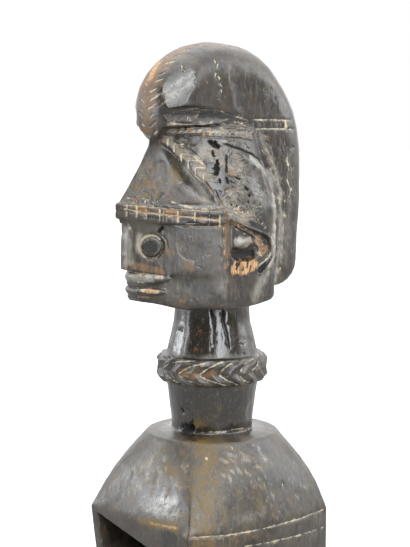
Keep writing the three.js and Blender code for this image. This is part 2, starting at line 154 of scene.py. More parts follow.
block = bmesh.new()
block.from_mesh(node.data)
bmesh.ops.scale(block, vec=(1 / MM, 1 / MM, 1 / MM), verts=block.verts)
bmesh.ops.remove_doubles(block, verts=block.verts, dist=0.001)
edge_points = []
for edge in block.edges:
    if edge.is_manifold and edge.calc_face_angle() > SHARP:
        a, b = (np.array(v.co) for v in edge.verts)
        middle = (a + b) / 2 * (math.copysign(1, a[0] + b[0]), 1, 1)
        if any((middle > low).all() and (middle < high).all() for low, high in SOFT_ROOMS):
            continue
        count = max(1, int(np.linalg.norm(b - a) / EDGE_STEP))
        edge_points += [a + (b - a) * k / count for k in range(count + 1)]
merged = bpy.data.meshes.new("merged")
block.to_mesh(merged)
block.free()
rough = with_modifiers(merged, ("REMESH", {}, {"mode": "VOXEL", "voxel_size": GRID}))
print(len(merged.vertices), "vertices merged,", len(edge_points), "points on carved edges,",
      len(rough.vertices), "vertices remeshed")

# %% Wear
RING_HEIGHTS = (143, 162)  # mm, the plaited ring
RING_GAPS = (30, 42)       # mm from the neck's axis to the ring's inside and past its outside
NECK_HEIGHTS = (110, 200)
NECK_GAP = 40
NECK_CRISP = 0.6           # the share of its planed facets that the neck keeps
CRISP_EDGE = 0.8           # mm beside a carved edge that hardly melt
MELTED = 3.5               # mm further off, where the surface melts fully


def ease(x):
    x = np.clip(x, 0, 1)
    return x * x * (3 - 2 * x)


def between(x, low, high, soft=1.0):
    return ease((x - low + soft) / soft) * ease((high + soft - x) / soft)


class Surface:
    """The wood's vertices in mm, which way they face, and how to find places on it."""

    def __init__(self, mesh):
        self.mesh = mesh
        self.spot = rows_of(mesh, "co")
        self.facing = rows_of(mesh, "normal")
        self.by_height = np.argsort(self.spot[:, 2])
        self.heights = self.spot[self.by_height, 2]
        self.tree = BVHTree.FromPolygons([tuple(p) for p in self.spot],
                                         [tuple(f.vertices) for f in mesh.polygons])

    def moved(self, outward):
        mesh = self.mesh.copy()
        spots = self.spot + self.facing * outward[:, None]
        mesh.vertices.foreach_set("co", spots.astype(np.float32).ravel())
        mesh.update()
        return mesh


edge_tree = nearness(edge_points)
places = rows_of(rough, "co")
from_edge = np.array([edge_tree.find(p)[2] for p in places])
height = places[:, 2]
axis_gap = np.hypot(places[:, 0], places[:, 1])
calm = ease((from_edge - CRISP_EDGE) / MELTED)
on_neck = between(height, *NECK_HEIGHTS) * (axis_gap < NECK_GAP)
on_ring = between(height, *RING_HEIGHTS) * (axis_gap > RING_GAPS[0]) * (axis_gap < RING_GAPS[1])
calm = calm * (1 - NECK_CRISP * on_neck)
calm = np.where(on_ring > 0.5, 0, calm)
melt = ("SMOOTH", {"calm": calm}, {"factor": 0.8, "iterations": 30, "vertex_group": "calm"})
wood = Surface(with_modifiers(rough, ("SMOOTH", {}, {"factor": 0.5, "iterations": 4}), melt, melt, melt))
print("worn block:", len(wood.spot), "vertices")

# %% [markdown]
# ## Finding places on the wood
# Every mark is a line on the wood. A line is found by casting rays through pixels of the view, and
# a tool then works on the vertices near it. The pixels are named at the head of the cell that uses
# them. `lumps` gives smooth random values, which break up what would otherwise look drawn with a
# ruler.

# %% Lines and nearness
chance = np.random.default_rng(SEED)
RIGHT_SIDE = np.array([-1, 1, 1])
HASH_STEPS = (374761393, 668265263, 1442695041, 974634777)   # large odd numbers that mix a cell's place
HASH_TURN = 1274126177


def lumps(size, seed, at=None):
    """Smooth random values from -1 to 1; size is the lumps' spacing in mm, one or one per axis."""
    cell = (wood.spot if at is None else at) / np.array(size)
    low = np.floor(cell).astype(np.int64)
    part = cell - low
    part = part * part * (3 - 2 * part)
    total = np.zeros(len(cell))
    for corner in range(8):
        step = np.array([corner & 1, corner >> 1 & 1, corner >> 2 & 1])
        code = ((low + step) * HASH_STEPS[:3]).sum(1) + seed * HASH_STEPS[3]
        code = (code ^ (code >> 13)) * HASH_TURN & 0xFFFFFFFF
        code = (code ^ (code >> 16)) & 0xFFFF
        total += (code / 32767.5 - 1) * np.prod(np.where(step, part, 1 - part), axis=1)
    return total


def near_line(line, reach):
    """The vertices within reach of a line, how far off it they are and how far along it, from 0 to 1."""
    line = np.atleast_2d(np.array(line, float))
    low, high = line.min(0) - reach, line.max(0) + reach
    start, end = np.searchsorted(wood.heights, [low[2], high[2]])
    rows = wood.by_height[start:end]
    at = wood.spot[rows]
    rows = rows[((at > low) & (at < high)).all(1)]
    at = wood.spot[rows]
    best = np.full(len(rows), np.inf)
    along = np.zeros(len(rows))
    if len(line) == 1:
        line = np.concatenate([line, line + 1e-6])
    lengths = np.linalg.norm(np.diff(line, axis=0), axis=1)
    done = 0.0
    for a, b, length in zip(line, line[1:], lengths):
        t = np.clip((at - a) @ (b - a) / max(length ** 2, 1e-12), 0, 1)
        gap = np.linalg.norm(at - a - t[:, None] * (b - a), axis=1)
        closer = gap < best
        best[closer] = gap[closer]
        along[closer] = (done + t[closer] * length) / lengths.sum()
        done += length
    inside = best < reach
    return rows[inside], best[inside], along[inside]


def on_wood(pixels, spacing=3.0):
    """The places on the wood behind a line of the view's pixels, as points in mm."""
    pixels = [np.array(p, float) for p in pixels]
    line = [pixels[0]]
    for a, b in zip(pixels, pixels[1:]):
        count = max(1, int(np.linalg.norm(b - a) / spacing))
        line += [a + (b - a) * k / count for k in range(1, count + 1)]
    hits = [wood.tree.ray_cast(Vector(camera_spot), pixel_ray(x, y))[0] for x, y in line]
    return np.array([hit for hit in hits if hit is not None])


def by_eye(tool):
    """The tool, guided by a line of the view's pixels; sides=2 repeats its work, mirrored, on the right."""
    def work(pixels, *sizes, sides=1, spacing=3.0, **marks):
        line = on_wood(pixels, spacing)
        tool(line, *sizes, **marks)
        if sides == 2:
            tool(line * RIGHT_SIDE, *sizes, **marks)
    return work


# %% [markdown]
# ## Blade facets and hollows
# A knife or an adze leaves small flat facets, and these catch the light on polished wood. Each one
# is made as the blade makes it: everything that stands above a plane just under the surface goes.
# Rolls and hollows are wider: they push the wood out or in along a line with a rounded profile.

# %% Broad tools
form = np.zeros(len(wood.spot))


def shave_line(line, depth, reach, tilt=(0, 0, 0)):
    """Takes off what stands above a plane that lies depth mm under the line."""
    rows = near_line(line, reach)[0]
    middle = np.atleast_2d(line).mean(0)
    place, normal = wood.tree.find_nearest(Vector(middle))[:2]
    normal = np.array(normal) + np.array(tilt)
    normal /= np.linalg.norm(normal)
    above = (wood.spot[rows] - np.array(place)) @ normal + depth
    with_it = wood.facing[rows] @ normal
    rows, above, with_it = rows[with_it > 0.5], above[with_it > 0.5], with_it[with_it > 0.5]
    # A plane that would take off far more than its depth has met a step, and isn't cut.
    if len(rows) and np.quantile(above, 0.9) < 1.5 * depth:
        form[rows] = np.minimum(form[rows], -np.clip(above, 0, None) / with_it)


def roll_line(line, half, rise):
    """A rounded ridge, or a rounded hollow where rise is below zero."""
    rows, off, along = near_line(line, half)
    ends = ease(np.minimum(along, 1 - along) / 0.12 + 0.2)
    form[rows] += rise * np.cos(np.clip(off / half, 0, 1) * math.pi / 2) ** 2 * ends


shave = by_eye(shave_line)
roll = by_eye(roll_line)

x, y, z = wood.spot.T
gap = np.hypot(x, y)
BLADE_WORK = [   # where, number of facets, half the length of the cut up the grain, reach and depth in mm
    ((z > 264) & (y > -46) & (abs(x) > 12), 90, 4, 8, 0.16),
    ((z > 200) & (z < 262) & (y > 40), 36, 12, 7, 0.25),
    ((z > 198) & (z < 244) & (y < 30) & (abs(x) > 14), 46, 4, 8, 0.14),
    ((z > 114) & (z < 141) & (gap < 34), 26, 9, 6, 0.32),
    ((z > 164) & (z < 190) & (gap < 33), 26, 10, 6, 0.35),
    ((z > 62) & (z < 106) & (gap > 44), 70, 5, 8, 0.15),
    ((z > 4) & (z < 56) & (abs(x) > 50), 24, 10, 9, 0.15)]
for region, count, half_length, reach, depth in BLADE_WORK:
    for row in chance.choice(np.flatnonzero(region), count):
        grain = np.array([0, 0, half_length * chance.uniform(0.6, 1.2)])
        shave_line([wood.spot[row] - grain, wood.spot[row] + grain], depth * chance.uniform(0.6, 1.3),
                   reach * chance.uniform(0.8, 1.3), chance.normal(0, 0.03, 3))
print("blade facets, deepest", round(-form.min(), 2), "mm")

# %% Facets, rolls and hollows that the figure shows
CREST_FACET = [(162, 97), (178, 86), (195, 75)]
FRONT_FACET = [(181, 315), (180, 350)]
SECOND_FACET = [(189, 315), (189, 334)]
BRIGHT_FACET = [(217.5, 316), (218.5, 356)]
SIDE_FACET = [(232, 322), (233, 350)]
RIM_HOLLOW = [(240, 170), (256, 178), (262, 195)]
TEMPLE_RIDGE = [(161, 160), (161.5, 196)]
TEMPLE_HOLLOW = [(184, 178), (194, 192)]
EAR_TOP = [(230, 221), (238, 226.5), (246, 231.5), (255, 235.5)]
EAR_HOLLOW = [(233, 254), (243, 255), (254, 254)]
EAR_KNOB = [(237, 242.5), (248, 245)]
EAR_EDGE = [(271, 250), (266, 260), (258, 267)]
KNOB_FACET = [(239, 243.5), (246, 244.5)]
shave(CREST_FACET, 2.6, 20, (0.02, -0.04, 0.02))
shave(FRONT_FACET, 0.7, 8, (0, 0, 0))
shave(SECOND_FACET, 0.7, 7)
shave(BRIGHT_FACET, 1.3, 9)
shave(SIDE_FACET, 0.7, 7)
RIM = [(251, 158), (262, 168), (270, 182), (274, 200), (275, 222), (273, 250), (268, 275), (262, 292)]
roll(RIM, 5.5, 1.1, sides=2)
roll(RIM_HOLLOW, 8, -0.8, sides=2)
roll(TEMPLE_RIDGE, 5, 0.6, sides=2)
roll(TEMPLE_HOLLOW, 9, -0.6, sides=2)
roll(EAR_TOP, 3.2, 1.2, sides=2)
roll(EAR_HOLLOW, 4.5, -1.8, sides=2)
roll(EAR_KNOB, 6, 2.0, sides=2)
roll(EAR_EDGE, 2.6, 0.8, sides=2)
shave(KNOB_FACET, 0.6, 7, (-0.15, -0.15, 0.1))
LIPS = ([(141, 279), (152, 280), (163, 279)], [(139, 291), (150, 292), (158, 292)])
for lip_line in LIPS:
    roll(lip_line, 3.0, 0.5, sides=2)
form[wood.spot[:, 2] < 1.5] = 0
wood = Surface(with_modifiers(wood.moved(form), ("SMOOTH", {}, {"factor": 0.5, "iterations": 2})))
print("formed block, box", wood.spot.min(0).round(1), wood.spot.max(0).round(1))

# %% [markdown]
# ## Carving tools
# A cut is a line with a width and a depth. `sunk` and `raised` gather how far each vertex goes in
# or out, and `mark` gathers what the place looks like: pale dust in the cuts, dry weathered wood,
# brown rubbed wood, fresh broken wood, olive stain, polish, grey scuffs, and black pits. Some marks
# also paint light and shade: the dust and dry wood lighten the shaded gap under the crest and paint
# a glint on the lip, the grey scuffs paint highlights and sheen, and the black of the pits paints
# shade under the crest, in the ear, on the lower neck and under the plait. A mark is strongest on
# its line and fades evenly to nothing, so that the material can cut it off with a ragged edge.
# Widths, depths and reaches are in mm, and a mark's value says how strong it is on the line. `cut`,
# `pit` and `patch` are guided by pixels, and the tools they drive by points in mm.

# %% Fine tools
sunk = np.zeros(len(wood.spot))
raised = np.zeros(len(wood.spot))
# The scuff, dust and dry marks also paint light in some places, and the pit mark also paints shade.
MARKS = ("residue", "dry", "rust", "raw", "stain", "polish", "scuff", "pit")
mark = {name: np.zeros(len(wood.spot)) for name in MARKS}
STRAY = 6.0                # mm; a stroke with a longer jump in it fell across a step and is left out
RAGGED = 0.45              # how far a hole's edge strays, as a share of its radius
TORN_GRAIN = (1.3, 1.3, 2.4)   # mm across and along the grain between the tears of that edge
ASKEW = np.array(Matrix.Rotation(math.radians(33), 3, (0.5, 0.6, 0.6)))   # keeps the tears off the axes


def touch(rows, amount, marks):
    for name, value in marks.items():
        mark[name][rows] = np.maximum(mark[name][rows], value * amount)


def cut_line(line, width, depth, fade=0.15, lip=0.0, **marks):
    """A groove with its ends faded out, an upturned lip beside it, and what gathers in it."""
    rows, off, along = near_line(line, width * 2.2)
    off = off * (1 + 0.25 * lumps(2.2, 5, wood.spot[rows]))
    taper = np.ones(len(rows)) if fade == 0 else ease(np.minimum(along, 1 - along) / fade + 0.15)
    bowl = np.clip(1 - off / width, 0, 1) ** 1.2 * taper
    sunk[rows] = np.maximum(sunk[rows], depth * bowl)
    if lip:
        rim = np.exp(-((off / width - 1.15) / 0.3) ** 2) * taper
        raised[rows] = np.maximum(raised[rows], lip * rim)
    touch(rows, np.clip(1.1 - off / (2 * width), 0, 1) * (0.5 + 0.5 * taper), marks)


def pit_line(point, radius, depth, **marks):
    """A ragged round hole or a chip; point may be a short line for a slot."""
    rows, off, _ = near_line(point, radius * 1.6)
    ragged = off * (1 + 0.3 * lumps(radius * 0.9, 31, wood.spot[rows] @ ASKEW))
    ragged += RAGGED * radius * lumps(TORN_GRAIN, 37, wood.spot[rows] @ ASKEW)
    sunk[rows] = np.maximum(sunk[rows], depth * ease((radius - ragged) / (0.6 * radius)))
    touch(rows, np.clip((1.5 * radius - ragged) / radius, 0, 1), marks)


def patch_line(points, reach, blur=1.0, **marks):
    """A place round a point or a line that only looks different; blur widens its soft edge."""
    rows, off, _ = near_line(points, reach * 1.6)
    ragged = off * (1 + 0.35 * lumps(reach * 0.7, 17, wood.spot[rows]))
    touch(rows, np.clip((reach - ragged) / (blur * reach) + 0.5, 0, 1), marks)


cut = by_eye(cut_line)
pit = by_eye(pit_line)
patch = by_eye(patch_line)


def hatch(path, half, count, lean, length, width, depth, spread=0.25, sides=1, **marks):
    """Scattered strokes in a band along a path of pixels; lean is their angle to the path in degrees."""
    path = np.array(path, float)
    lengths = np.linalg.norm(np.diff(path, axis=0), axis=1)
    for _ in range(count):
        leg = chance.choice(len(lengths), p=lengths / lengths.sum())
        step = (path[leg + 1] - path[leg]) / lengths[leg]
        middle = path[leg] + step * chance.uniform(0, lengths[leg])
        middle = middle + np.array([-step[1], step[0]]) * chance.uniform(-half, half)
        angle = math.atan2(step[1], step[0]) + math.radians(lean) + chance.normal(0, spread)
        arm = np.array([math.cos(angle), math.sin(angle)]) * length * chance.uniform(0.25, 0.6)
        line = on_wood([middle - arm, middle, middle + arm], 2)
        if len(line) < 2 or np.linalg.norm(np.diff(line, axis=0), axis=1).max() > STRAY:
            continue
        size, force = chance.uniform(0.75, 1.25), chance.uniform(0.4, 1.2)
        amounts = {name: value * chance.uniform(0.6, 1.1) for name, value in marks.items()}
        for side in (1, -1)[:sides]:
            cut_line(line * np.array([side, 1, 1]), width * size, depth * force, **amounts)


# %% [markdown]
# ## The crest
# The crest's ridge is rubbed brown and hatched on both sides with short slanting cuts that start on
# the ridge, from the front over the top to the nape. Its sides are plain, with knife facets, a
# double incised line near the back, and a chipped edge above the hollow. A painted highlight lies on
# the front facet, and painted shade under the bulge.

# %% Crest hatching
BARE_PATCH = [(150.5, 77), (154, 69), (158, 63)]
BARE_EDGE = [(141, 92), (144, 84), (148, 79)]
CREST_FRONT_PAINTED_SHADE = [(145, 104), (144, 118), (149, 128)]
RIDGE = [(-44, 299), (-50.5, 306), (-52.5, 318), (-51.5, 330), (-46, 341), (-38, 350), (-26, 357),
         (-12, 361), (4, 361), (16, 358.5), (28, 352), (40, 343), (50, 332), (57, 321), (61.5, 309),
         (64, 295), (64.5, 280), (64, 262), (63, 244), (61, 229)]   # (Y, Z) of the ridge, in mm
HATCH_PITCH = 5.8
HATCH_REACH = (0.5, 10.5)  # mm from the ridge, where a cut starts and ends
OVER_THE_TOP = ((0.25, 0.4, 0.65, 0.8), (1, 1.75, 1.75, 1))   # shares of the ridge; how much longer cuts get
HATCH_SWEEP = (0.55, 0.05)     # how far a cut runs along the ridge for each mm across it: front, nape


def along_curve(points, count):
    """A line through the points, evenly spaced, and its length."""
    points = np.array(points, float)
    lengths = np.concatenate([[0], np.cumsum(np.linalg.norm(np.diff(points, axis=0), axis=1))])
    even = np.linspace(0, lengths[-1], count)
    return np.stack([np.interp(even, lengths, column) for column in points.T], axis=1), lengths[-1]


def onto_wood(points):
    """The nearest places on the wood to points that lie close to it."""
    return np.array([wood.tree.find_nearest(Vector(p))[0] for p in points])


ridge_line, ridge_length = along_curve(RIDGE, 400)
cuts = 0
for side in (1, -1):
    for place in np.arange(4, ridge_length - 8, HATCH_PITCH):
        start = place + chance.uniform(-1.4, 1.4)
        sweep = np.interp(start, [0, ridge_length], HATCH_SWEEP)
        first, last = HATCH_REACH[0] + chance.uniform(0, 3), HATCH_REACH[1] * chance.uniform(0.7, 1.1)
        last *= np.interp(start / ridge_length, *OVER_THE_TOP)
        stroke = []
        for across in np.linspace(first, last, 6):
            here = np.clip((start + across * sweep) / ridge_length, 0, 1)
            y, z = ridge_line[int(here * 399)]
            stroke.append((side * across, y, z))
        cut_line(onto_wood(stroke), 0.85, 0.5, fade=0.25, residue=chance.uniform(0.7, 1.05))
        cuts += 1
ridge_points = np.array([(0, y, z) for y, z in ridge_line])
patch_line(onto_wood(ridge_points[16:150:6]), 8.5, rust=0.85)
patch_line(onto_wood(ridge_points[130:260:6]), 12.5, 1.6, rust=0.72)
patch(BARE_PATCH, 4.5, 1.4, raw=1.0, rust=1.0)
patch(BARE_EDGE, 3.2, raw=0.6, rust=1.0)
# Painted shade: black darkening under the front of the crest's overhang.
patch(CREST_FRONT_PAINTED_SHADE, 4, 1.4, pit=0.45)
CREST_SIDE = (266, 338)    # mm, the heights that hands have polished
crest_side = between(wood.spot[:, 2], *CREST_SIDE, 8) * ease((abs(wood.spot[:, 0]) - 8) / 8)
mark["polish"] = np.maximum(mark["polish"], 0.55 * crest_side)
print(cuts, "hatching cuts on a ridge", round(ridge_length), "mm long")

# %% Cuts and marks on the crest's side
CREST_POLISH_AND_PAINTED_HIGHLIGHT = [(166, 96), (178, 87), (190, 79)]
CREST_PAINTED_HIGHLIGHT = [(163, 95), (170, 88)]
LONG_SCRATCHES = [(158, 100), (198, 78)]
TOP_SCRATCHES = [(176, 60), (250, 66)]
BACK_SCRATCHES = [(215, 55), (285, 110)]
EDGE_NICKS = [(172, 116), (200, 116), (240, 121)]
UNDERSIDE_DUST_AND_PAINTED_LIGHT = [(165, 122), (250, 125)]
UNDERSIDE_PAINTED_LIGHT = [(168, 124), (190, 124.5), (214, 125)]
UNDERCUT_FRONT_PAINTED_SHADE = [(164, 109), (168, 118)]
UNDERCUT_SIDE_PAINTED_SHADE = [(170, 106), (196, 103.5), (225, 107)]
UNDERCUT_LOWER_PAINTED_SHADE = [(170, 116), (196, 114)]
UNDERCUT_BACK_PAINTED_SHADE = [(200, 115), (232, 117)]
BAND_END = [(285.5, 122), (286.2, 127)]
STRAY_CUT = [(267.5, 115), (275.5, 96.6)]
HAIR_GRAIN = [(280, 140), (279, 200), (281, 284)]
BACK_GRAIN = [(286, 140), (290, 200), (286, 270)]
HEM_CUTS = [(262, 138), (271, 157), (277, 172), (281, 190), (282, 215), (280, 245), (276, 285)]
BACK_PAINTED_SHEEN = [(289, 150), (290, 200), (286, 262)]
# Polish smooths the front facet; the grey over it is a painted highlight, brightest at its lower left.
patch(CREST_POLISH_AND_PAINTED_HIGHLIGHT, 8.5, 1.6, polish=1.0, scuff=0.3)
patch(CREST_PAINTED_HIGHLIGHT, 4.5, 1.8, scuff=0.5)
hatch(LONG_SCRATCHES, 8, 26, 2, 22, 0.4, 0.06, 0.06, scuff=0.7)
hatch(TOP_SCRATCHES, 12, 40, 60, 7, 0.5, 0.12, 0.4, residue=0.45)
hatch(BACK_SCRATCHES, 16, 70, 55, 9, 0.5, 0.14, 0.2, residue=0.5)
hatch(EDGE_NICKS, 5, 80, -45, 7, 0.45, 0.2, 0.3, residue=0.72)
# Pale strokes, partly dust and partly painted light, and a pale weathered band that is painted light, lift
# the shaded gap under the crest's bulge.
hatch(UNDERSIDE_DUST_AND_PAINTED_LIGHT, 3, 70, -10, 8, 0.5, 0.2, 0.2, residue=0.78)
patch(UNDERSIDE_PAINTED_LIGHT, 1.6, 1.4, residue=0.42, dry=0.9)
# Painted shade: black darkening in the shaded undercut below the crest's bulge.
patch(UNDERCUT_FRONT_PAINTED_SHADE, 3.4, 1.6, pit=0.62)
patch(UNDERCUT_SIDE_PAINTED_SHADE, 3.0, 1.8, pit=0.5)
patch(UNDERCUT_LOWER_PAINTED_SHADE, 3.0, 1.6, pit=0.62)
patch(UNDERCUT_BACK_PAINTED_SHADE, 3.4, 1.6, pit=0.72)
BAND_LINES = ([(251, 119.8), (272, 119.8), (292, 120.3)], [(251, 128.6), (272, 128.8), (296, 129.2)])
for band_line in BAND_LINES:
    cut(band_line, 0.8, 0.4, sides=2, residue=0.85)
BAND_INSIDE = (121.5, 127.5)   # pixel heights of the ticks between the two lines
BAND_TICKS = (254, 260, 264.5, 272, 277.5, 281)
for x in BAND_TICKS:
    cut([(x, BAND_INSIDE[0]), (x + 1.2, BAND_INSIDE[1])], 0.6, 0.35, residue=chance.uniform(0.4, 0.65))
patch(BAND_END, 1.7, residue=0.9)
FLAKES = [(214.5, 60), (218, 64.5), (216, 73), (218.5, 76.5), (221, 83.5), (221.5, 89.5), (182, 66),
          (183.5, 69)]
for x, y in FLAKES:
    pit([(x, y), (x + chance.uniform(-1, 1.5), y + chance.uniform(2, 4))], 0.6, 0.4, residue=0.95)
cut(STRAY_CUT, 0.7, 0.3, residue=0.6)
SHORT_CUTS = ((251, 91), (261, 88), (186, 148))
for x, y in SHORT_CUTS:
    cut([(x, y - 3), (x, y + 3)], 0.6, 0.2, residue=0.6)
WAVY = [(289, 147), (287.5, 160), (289, 168), (287.5, 180), (291, 190), (288.5, 202)]
cut(WAVY, 0.8, 0.4, sides=2, residue=0.75, scuff=0.6)
hatch(WAVY, 3.5, 60, 10, 7, 0.5, 0.3, 0.3, residue=0.62)
CHIPPED = [(172, 113), (180, 110), (196, 108.2), (207, 109.8), (216, 109), (227, 113.5), (237, 116.5),
           (251, 120.5)]
cut(CHIPPED, 0.7, 0.35, sides=2, residue=0.62, lip=0.2)
hatch(HAIR_GRAIN, 7, 90, 0, 12, 0.55, 0.3, 0.06, sides=2, residue=0.55)
hatch(BACK_GRAIN, 8, 50, 0, 9, 0.5, 0.25, 0.1, sides=2, residue=0.5)
hatch(HEM_CUTS, 5, 200, -6, 10,
      0.5, 0.22, 0.14, sides=2, residue=0.62, dry=0.6)
HEM_WEATHERED_AND_PAINTED_SHEEN = [(261, 138), (270, 156), (276, 171), (280, 188), (281, 215), (279, 245), (275, 285)]
# Weathered grey wood along the hem, with a painted sheen; behind it, a painted sheen down the back's edge.
patch(HEM_WEATHERED_AND_PAINTED_SHEEN, 3.4, 1.8, sides=2, dry=0.75, scuff=0.55)
patch(BACK_PAINTED_SHEEN, 5, 1.8, sides=2, scuff=0.5)
print("side of the crest marked")

# %% [markdown]
# ## The temples
# A twisted cord runs under the crest. Chevrons follow the edge of each temple down to the ear, and
# the wood between is dry and cracked, with worm holes, while its rim is polished by hands and given a
# painted sheen. Painted light also lifts the scoop's far corner and its shaded wall.

# %% Cord, chevrons and scoop
CHEVRON_BAND = [(170, 140), (184, 154), (196, 166), (208, 178)]
LAST_CHEVRON = [(207.5, 180), (218.3, 181.4)]
CHEVRON_LINE = [(177, 142.8), (184, 147.3), (191, 152.4), (197.3, 159), (207.5, 167.7)]
OUTER_LINE = [(180, 141), (190, 149), (200, 158.5), (208, 167)]
CORD_END = [(173, 140), (179.5, 144.5)]
SCOOP_SHINE = [(166, 150), (174, 156), (179, 161)]
SCOOP_OIL = [(172, 171), (177, 180)]
SCOOP_BROWN = [(168, 186), (172, 195)]
SCOOP_CORNER_PAINTED_HIGHLIGHT = [(192, 190), (205, 201)]
SCOOP_WALL_PAINTED_LIGHT = [(186, 168), (198, 184), (206, 197)]
TEMPLE_SHINE = [(161.7, 168), (162, 193)]
SILL_BREAK = [(214, 206), (221, 206)]
BROW_NICKS = [(126, 200), (160, 203)]
FOREHEAD_NICKS = [(143, 174), (148, 177)]
FOREHEAD_DUST = [(133, 194), (156, 199)]
FOREHEAD_SCRATCHES = [(150, 155), (128, 196)]
SCOOP_SCRATCHES = [(170, 180), (205, 198)]
CORD_TOP = [(170, 129), (200, 128), (230, 127.4), (255, 128.5)]
CORD_FOOT = [(168, 136), (185, 135.5), (215, 137.5), (240, 138.5), (255, 142)]
CORD_MIDDLE = [(172, 132.2), (200, 131.8), (225, 132), (252, 134.5)]
patch(CORD_MIDDLE, 2.6, 1.4, sides=2, dry=0.8, rust=0.5)
cut(CORD_TOP, 0.7, 0.6, sides=2, residue=0.75)
cut(CORD_FOOT, 0.8, 0.7, sides=2, pit=0.3)
CORD_PITCH = (172, 254, 6.2)   # pixels: where the cord's strands begin and end, and from one to the next
for x in np.arange(*CORD_PITCH):
    strand = [(x, 136), (x + 2, 132.5), (x + 6, 130)]
    cut(strand, 0.75, 0.7, sides=2, residue=chance.uniform(0.5, 0.85))
hatch(CORD_MIDDLE, 3, 50, -25, 5, 0.5, 0.3, 0.3, sides=2, residue=0.7)
hatch(CORD_MIDDLE, 3, 46, -25, 6, 0.5, 0.35, 0.4, sides=2, raw=0.74)
hatch(CORD_MIDDLE, 3, 24, -25, 5, 0.55, 0.5, 0.4, sides=2, pit=0.6)
CHEVRON_DOWN = [(168, 137.6, 8), (174.2, 143.7, 9), (181.5, 153.4, 9), (188.6, 159.8, 10), (195.8, 166.9, 9),
                (203.7, 173.5, 9.5)]    # pixel of each corner and how far its first stroke runs down
patch(CHEVRON_BAND, 4.5, sides=2, dry=0.8, stain=0.45)
for x, y, drop in CHEVRON_DOWN:
    cut([(x, y + drop), (x, y)], 0.75, 0.7, 0.1, sides=2, spacing=2, residue=0.95)
    cut([(x, y), (x + 10, y + 0.8)], 0.75, 0.7, 0.1, sides=2, spacing=2, residue=0.85)
    cut([(x + 1.5, y + 3.5), (x + 11, y + 4)], 0.8, 0.5, 0.1, sides=2, spacing=2, stain=0.7)
cut(LAST_CHEVRON, 0.7, 0.5, 0.1, sides=2, spacing=2, residue=0.8)
cut(CHEVRON_LINE, 0.65, 0.5, sides=2, residue=0.8)
cut(OUTER_LINE, 0.6, 0.5, sides=2, residue=0.55)
cut(CORD_END, 0.9, 0.8, pit=0.7)
BEHIND_CHEVRONS = [(192, 172.5), (199, 178), (206, 183), (212, 191), (219, 199), (225, 208)]
cut(BEHIND_CHEVRONS, 0.8, 0.9, sides=2, rust=0.8, pit=0.25)
SCOOP_EDGE = [(160, 143.7), (170.3, 150.8), (178, 159), (188, 171), (196.3, 180), (203.5, 189), (210, 199)]
cut(SCOOP_EDGE, 0.7, 0.5, sides=2, residue=0.55)
patch(SCOOP_SHINE, 1.6, residue=0.5, polish=0.6)
BLADE_SLIPS = ([(214, 189), (219, 199), (224, 208)], [(220, 190), (225, 203)])
for blade in BLADE_SLIPS:
    cut(blade, 1.3, 0.6, stain=0.4, pit=0.35)
patch(SCOOP_OIL, 6, 1.2, stain=0.8)
patch(SCOOP_BROWN, 4.5, 1.2, rust=0.5)
# Painted light: grey that lightens the scoop's far corner and its shaded wall.
patch(SCOOP_CORNER_PAINTED_HIGHLIGHT, 6, 1.8, scuff=0.62)
patch(SCOOP_WALL_PAINTED_LIGHT, 4.5, 1.6, scuff=0.7)
patch(TEMPLE_SHINE, 1.8, polish=0.7)
SCOOP_SILL = [(172, 202), (182, 205.3), (192, 207.3), (208, 208.8), (222, 207)]
patch(SCOOP_SILL, 1.7, 1.4, sides=2, residue=0.68, scuff=0.5)
patch(SILL_BREAK, 1.7, raw=0.5)
hatch(BROW_NICKS, 3, 34, 0, 4, 0.6, 0.35, 0.9, sides=2, residue=0.75)
FOREHEAD_BLOTCHES = {      # pixel and reach in mm
    "pit": [(156, 163, 5), (150, 171, 4), (141, 181, 3.5), (158, 183, 4)],
    "stain": [(146, 180, 5), (139, 186, 4), (146, 194, 5), (156, 196, 4)],
    "rust": [(151, 186, 4), (152, 172, 3.5), (136, 197, 3.5)]}
BLOTCH_STRENGTH = {"pit": 0.52, "stain": 0.85, "rust": 0.85}
for name, blotches in FOREHEAD_BLOTCHES.items():
    for x, y, reach in blotches:
        patch([(x, y)], reach, 1.5, **{name: BLOTCH_STRENGTH[name]})
hatch(FOREHEAD_NICKS, 3, 14, 20, 2.5, 0.6, 0.3, 0.8, residue=0.7)
hatch(FOREHEAD_DUST, 5, 40, 0, 3, 0.55, 0.25, 0.9, residue=0.6)
hatch(FOREHEAD_SCRATCHES, 9, 46, 0, 7, 0.5, 0.2, 0.25, residue=0.5)
hatch(SCOOP_SCRATCHES, 9, 36, 20, 8, 0.5, 0.15, 0.5, residue=0.45)
print("temples carved")

# %% Dry wood, cracks and holes
DRY_TOP = [(200, 146), (222, 142), (245, 148)]
CRACK_SHINE = [(227, 141.5), (238, 145.5), (248, 150)]
RIM_POLISH_AND_PAINTED_SHEEN = [(245, 168), (258, 180), (262, 200)]
RIM_CUTS = [(244, 148), (262, 162)]
RIM_SPLITS = [(248, 150), (256, 158)]
LOWER_SCRATCHES = [(250, 185), (262, 196)]
RUBBED_SPOT = [(229, 171), (233, 174)]
DRY_AREA = [(206, 150), (228, 158), (240, 172), (238, 192), (228, 206)]
patch(DRY_AREA, 9, 1.2, dry=0.72)
patch(DRY_TOP, 4, 1.3, dry=0.6)
patch(CRACK_SHINE, 2.2, polish=0.8)
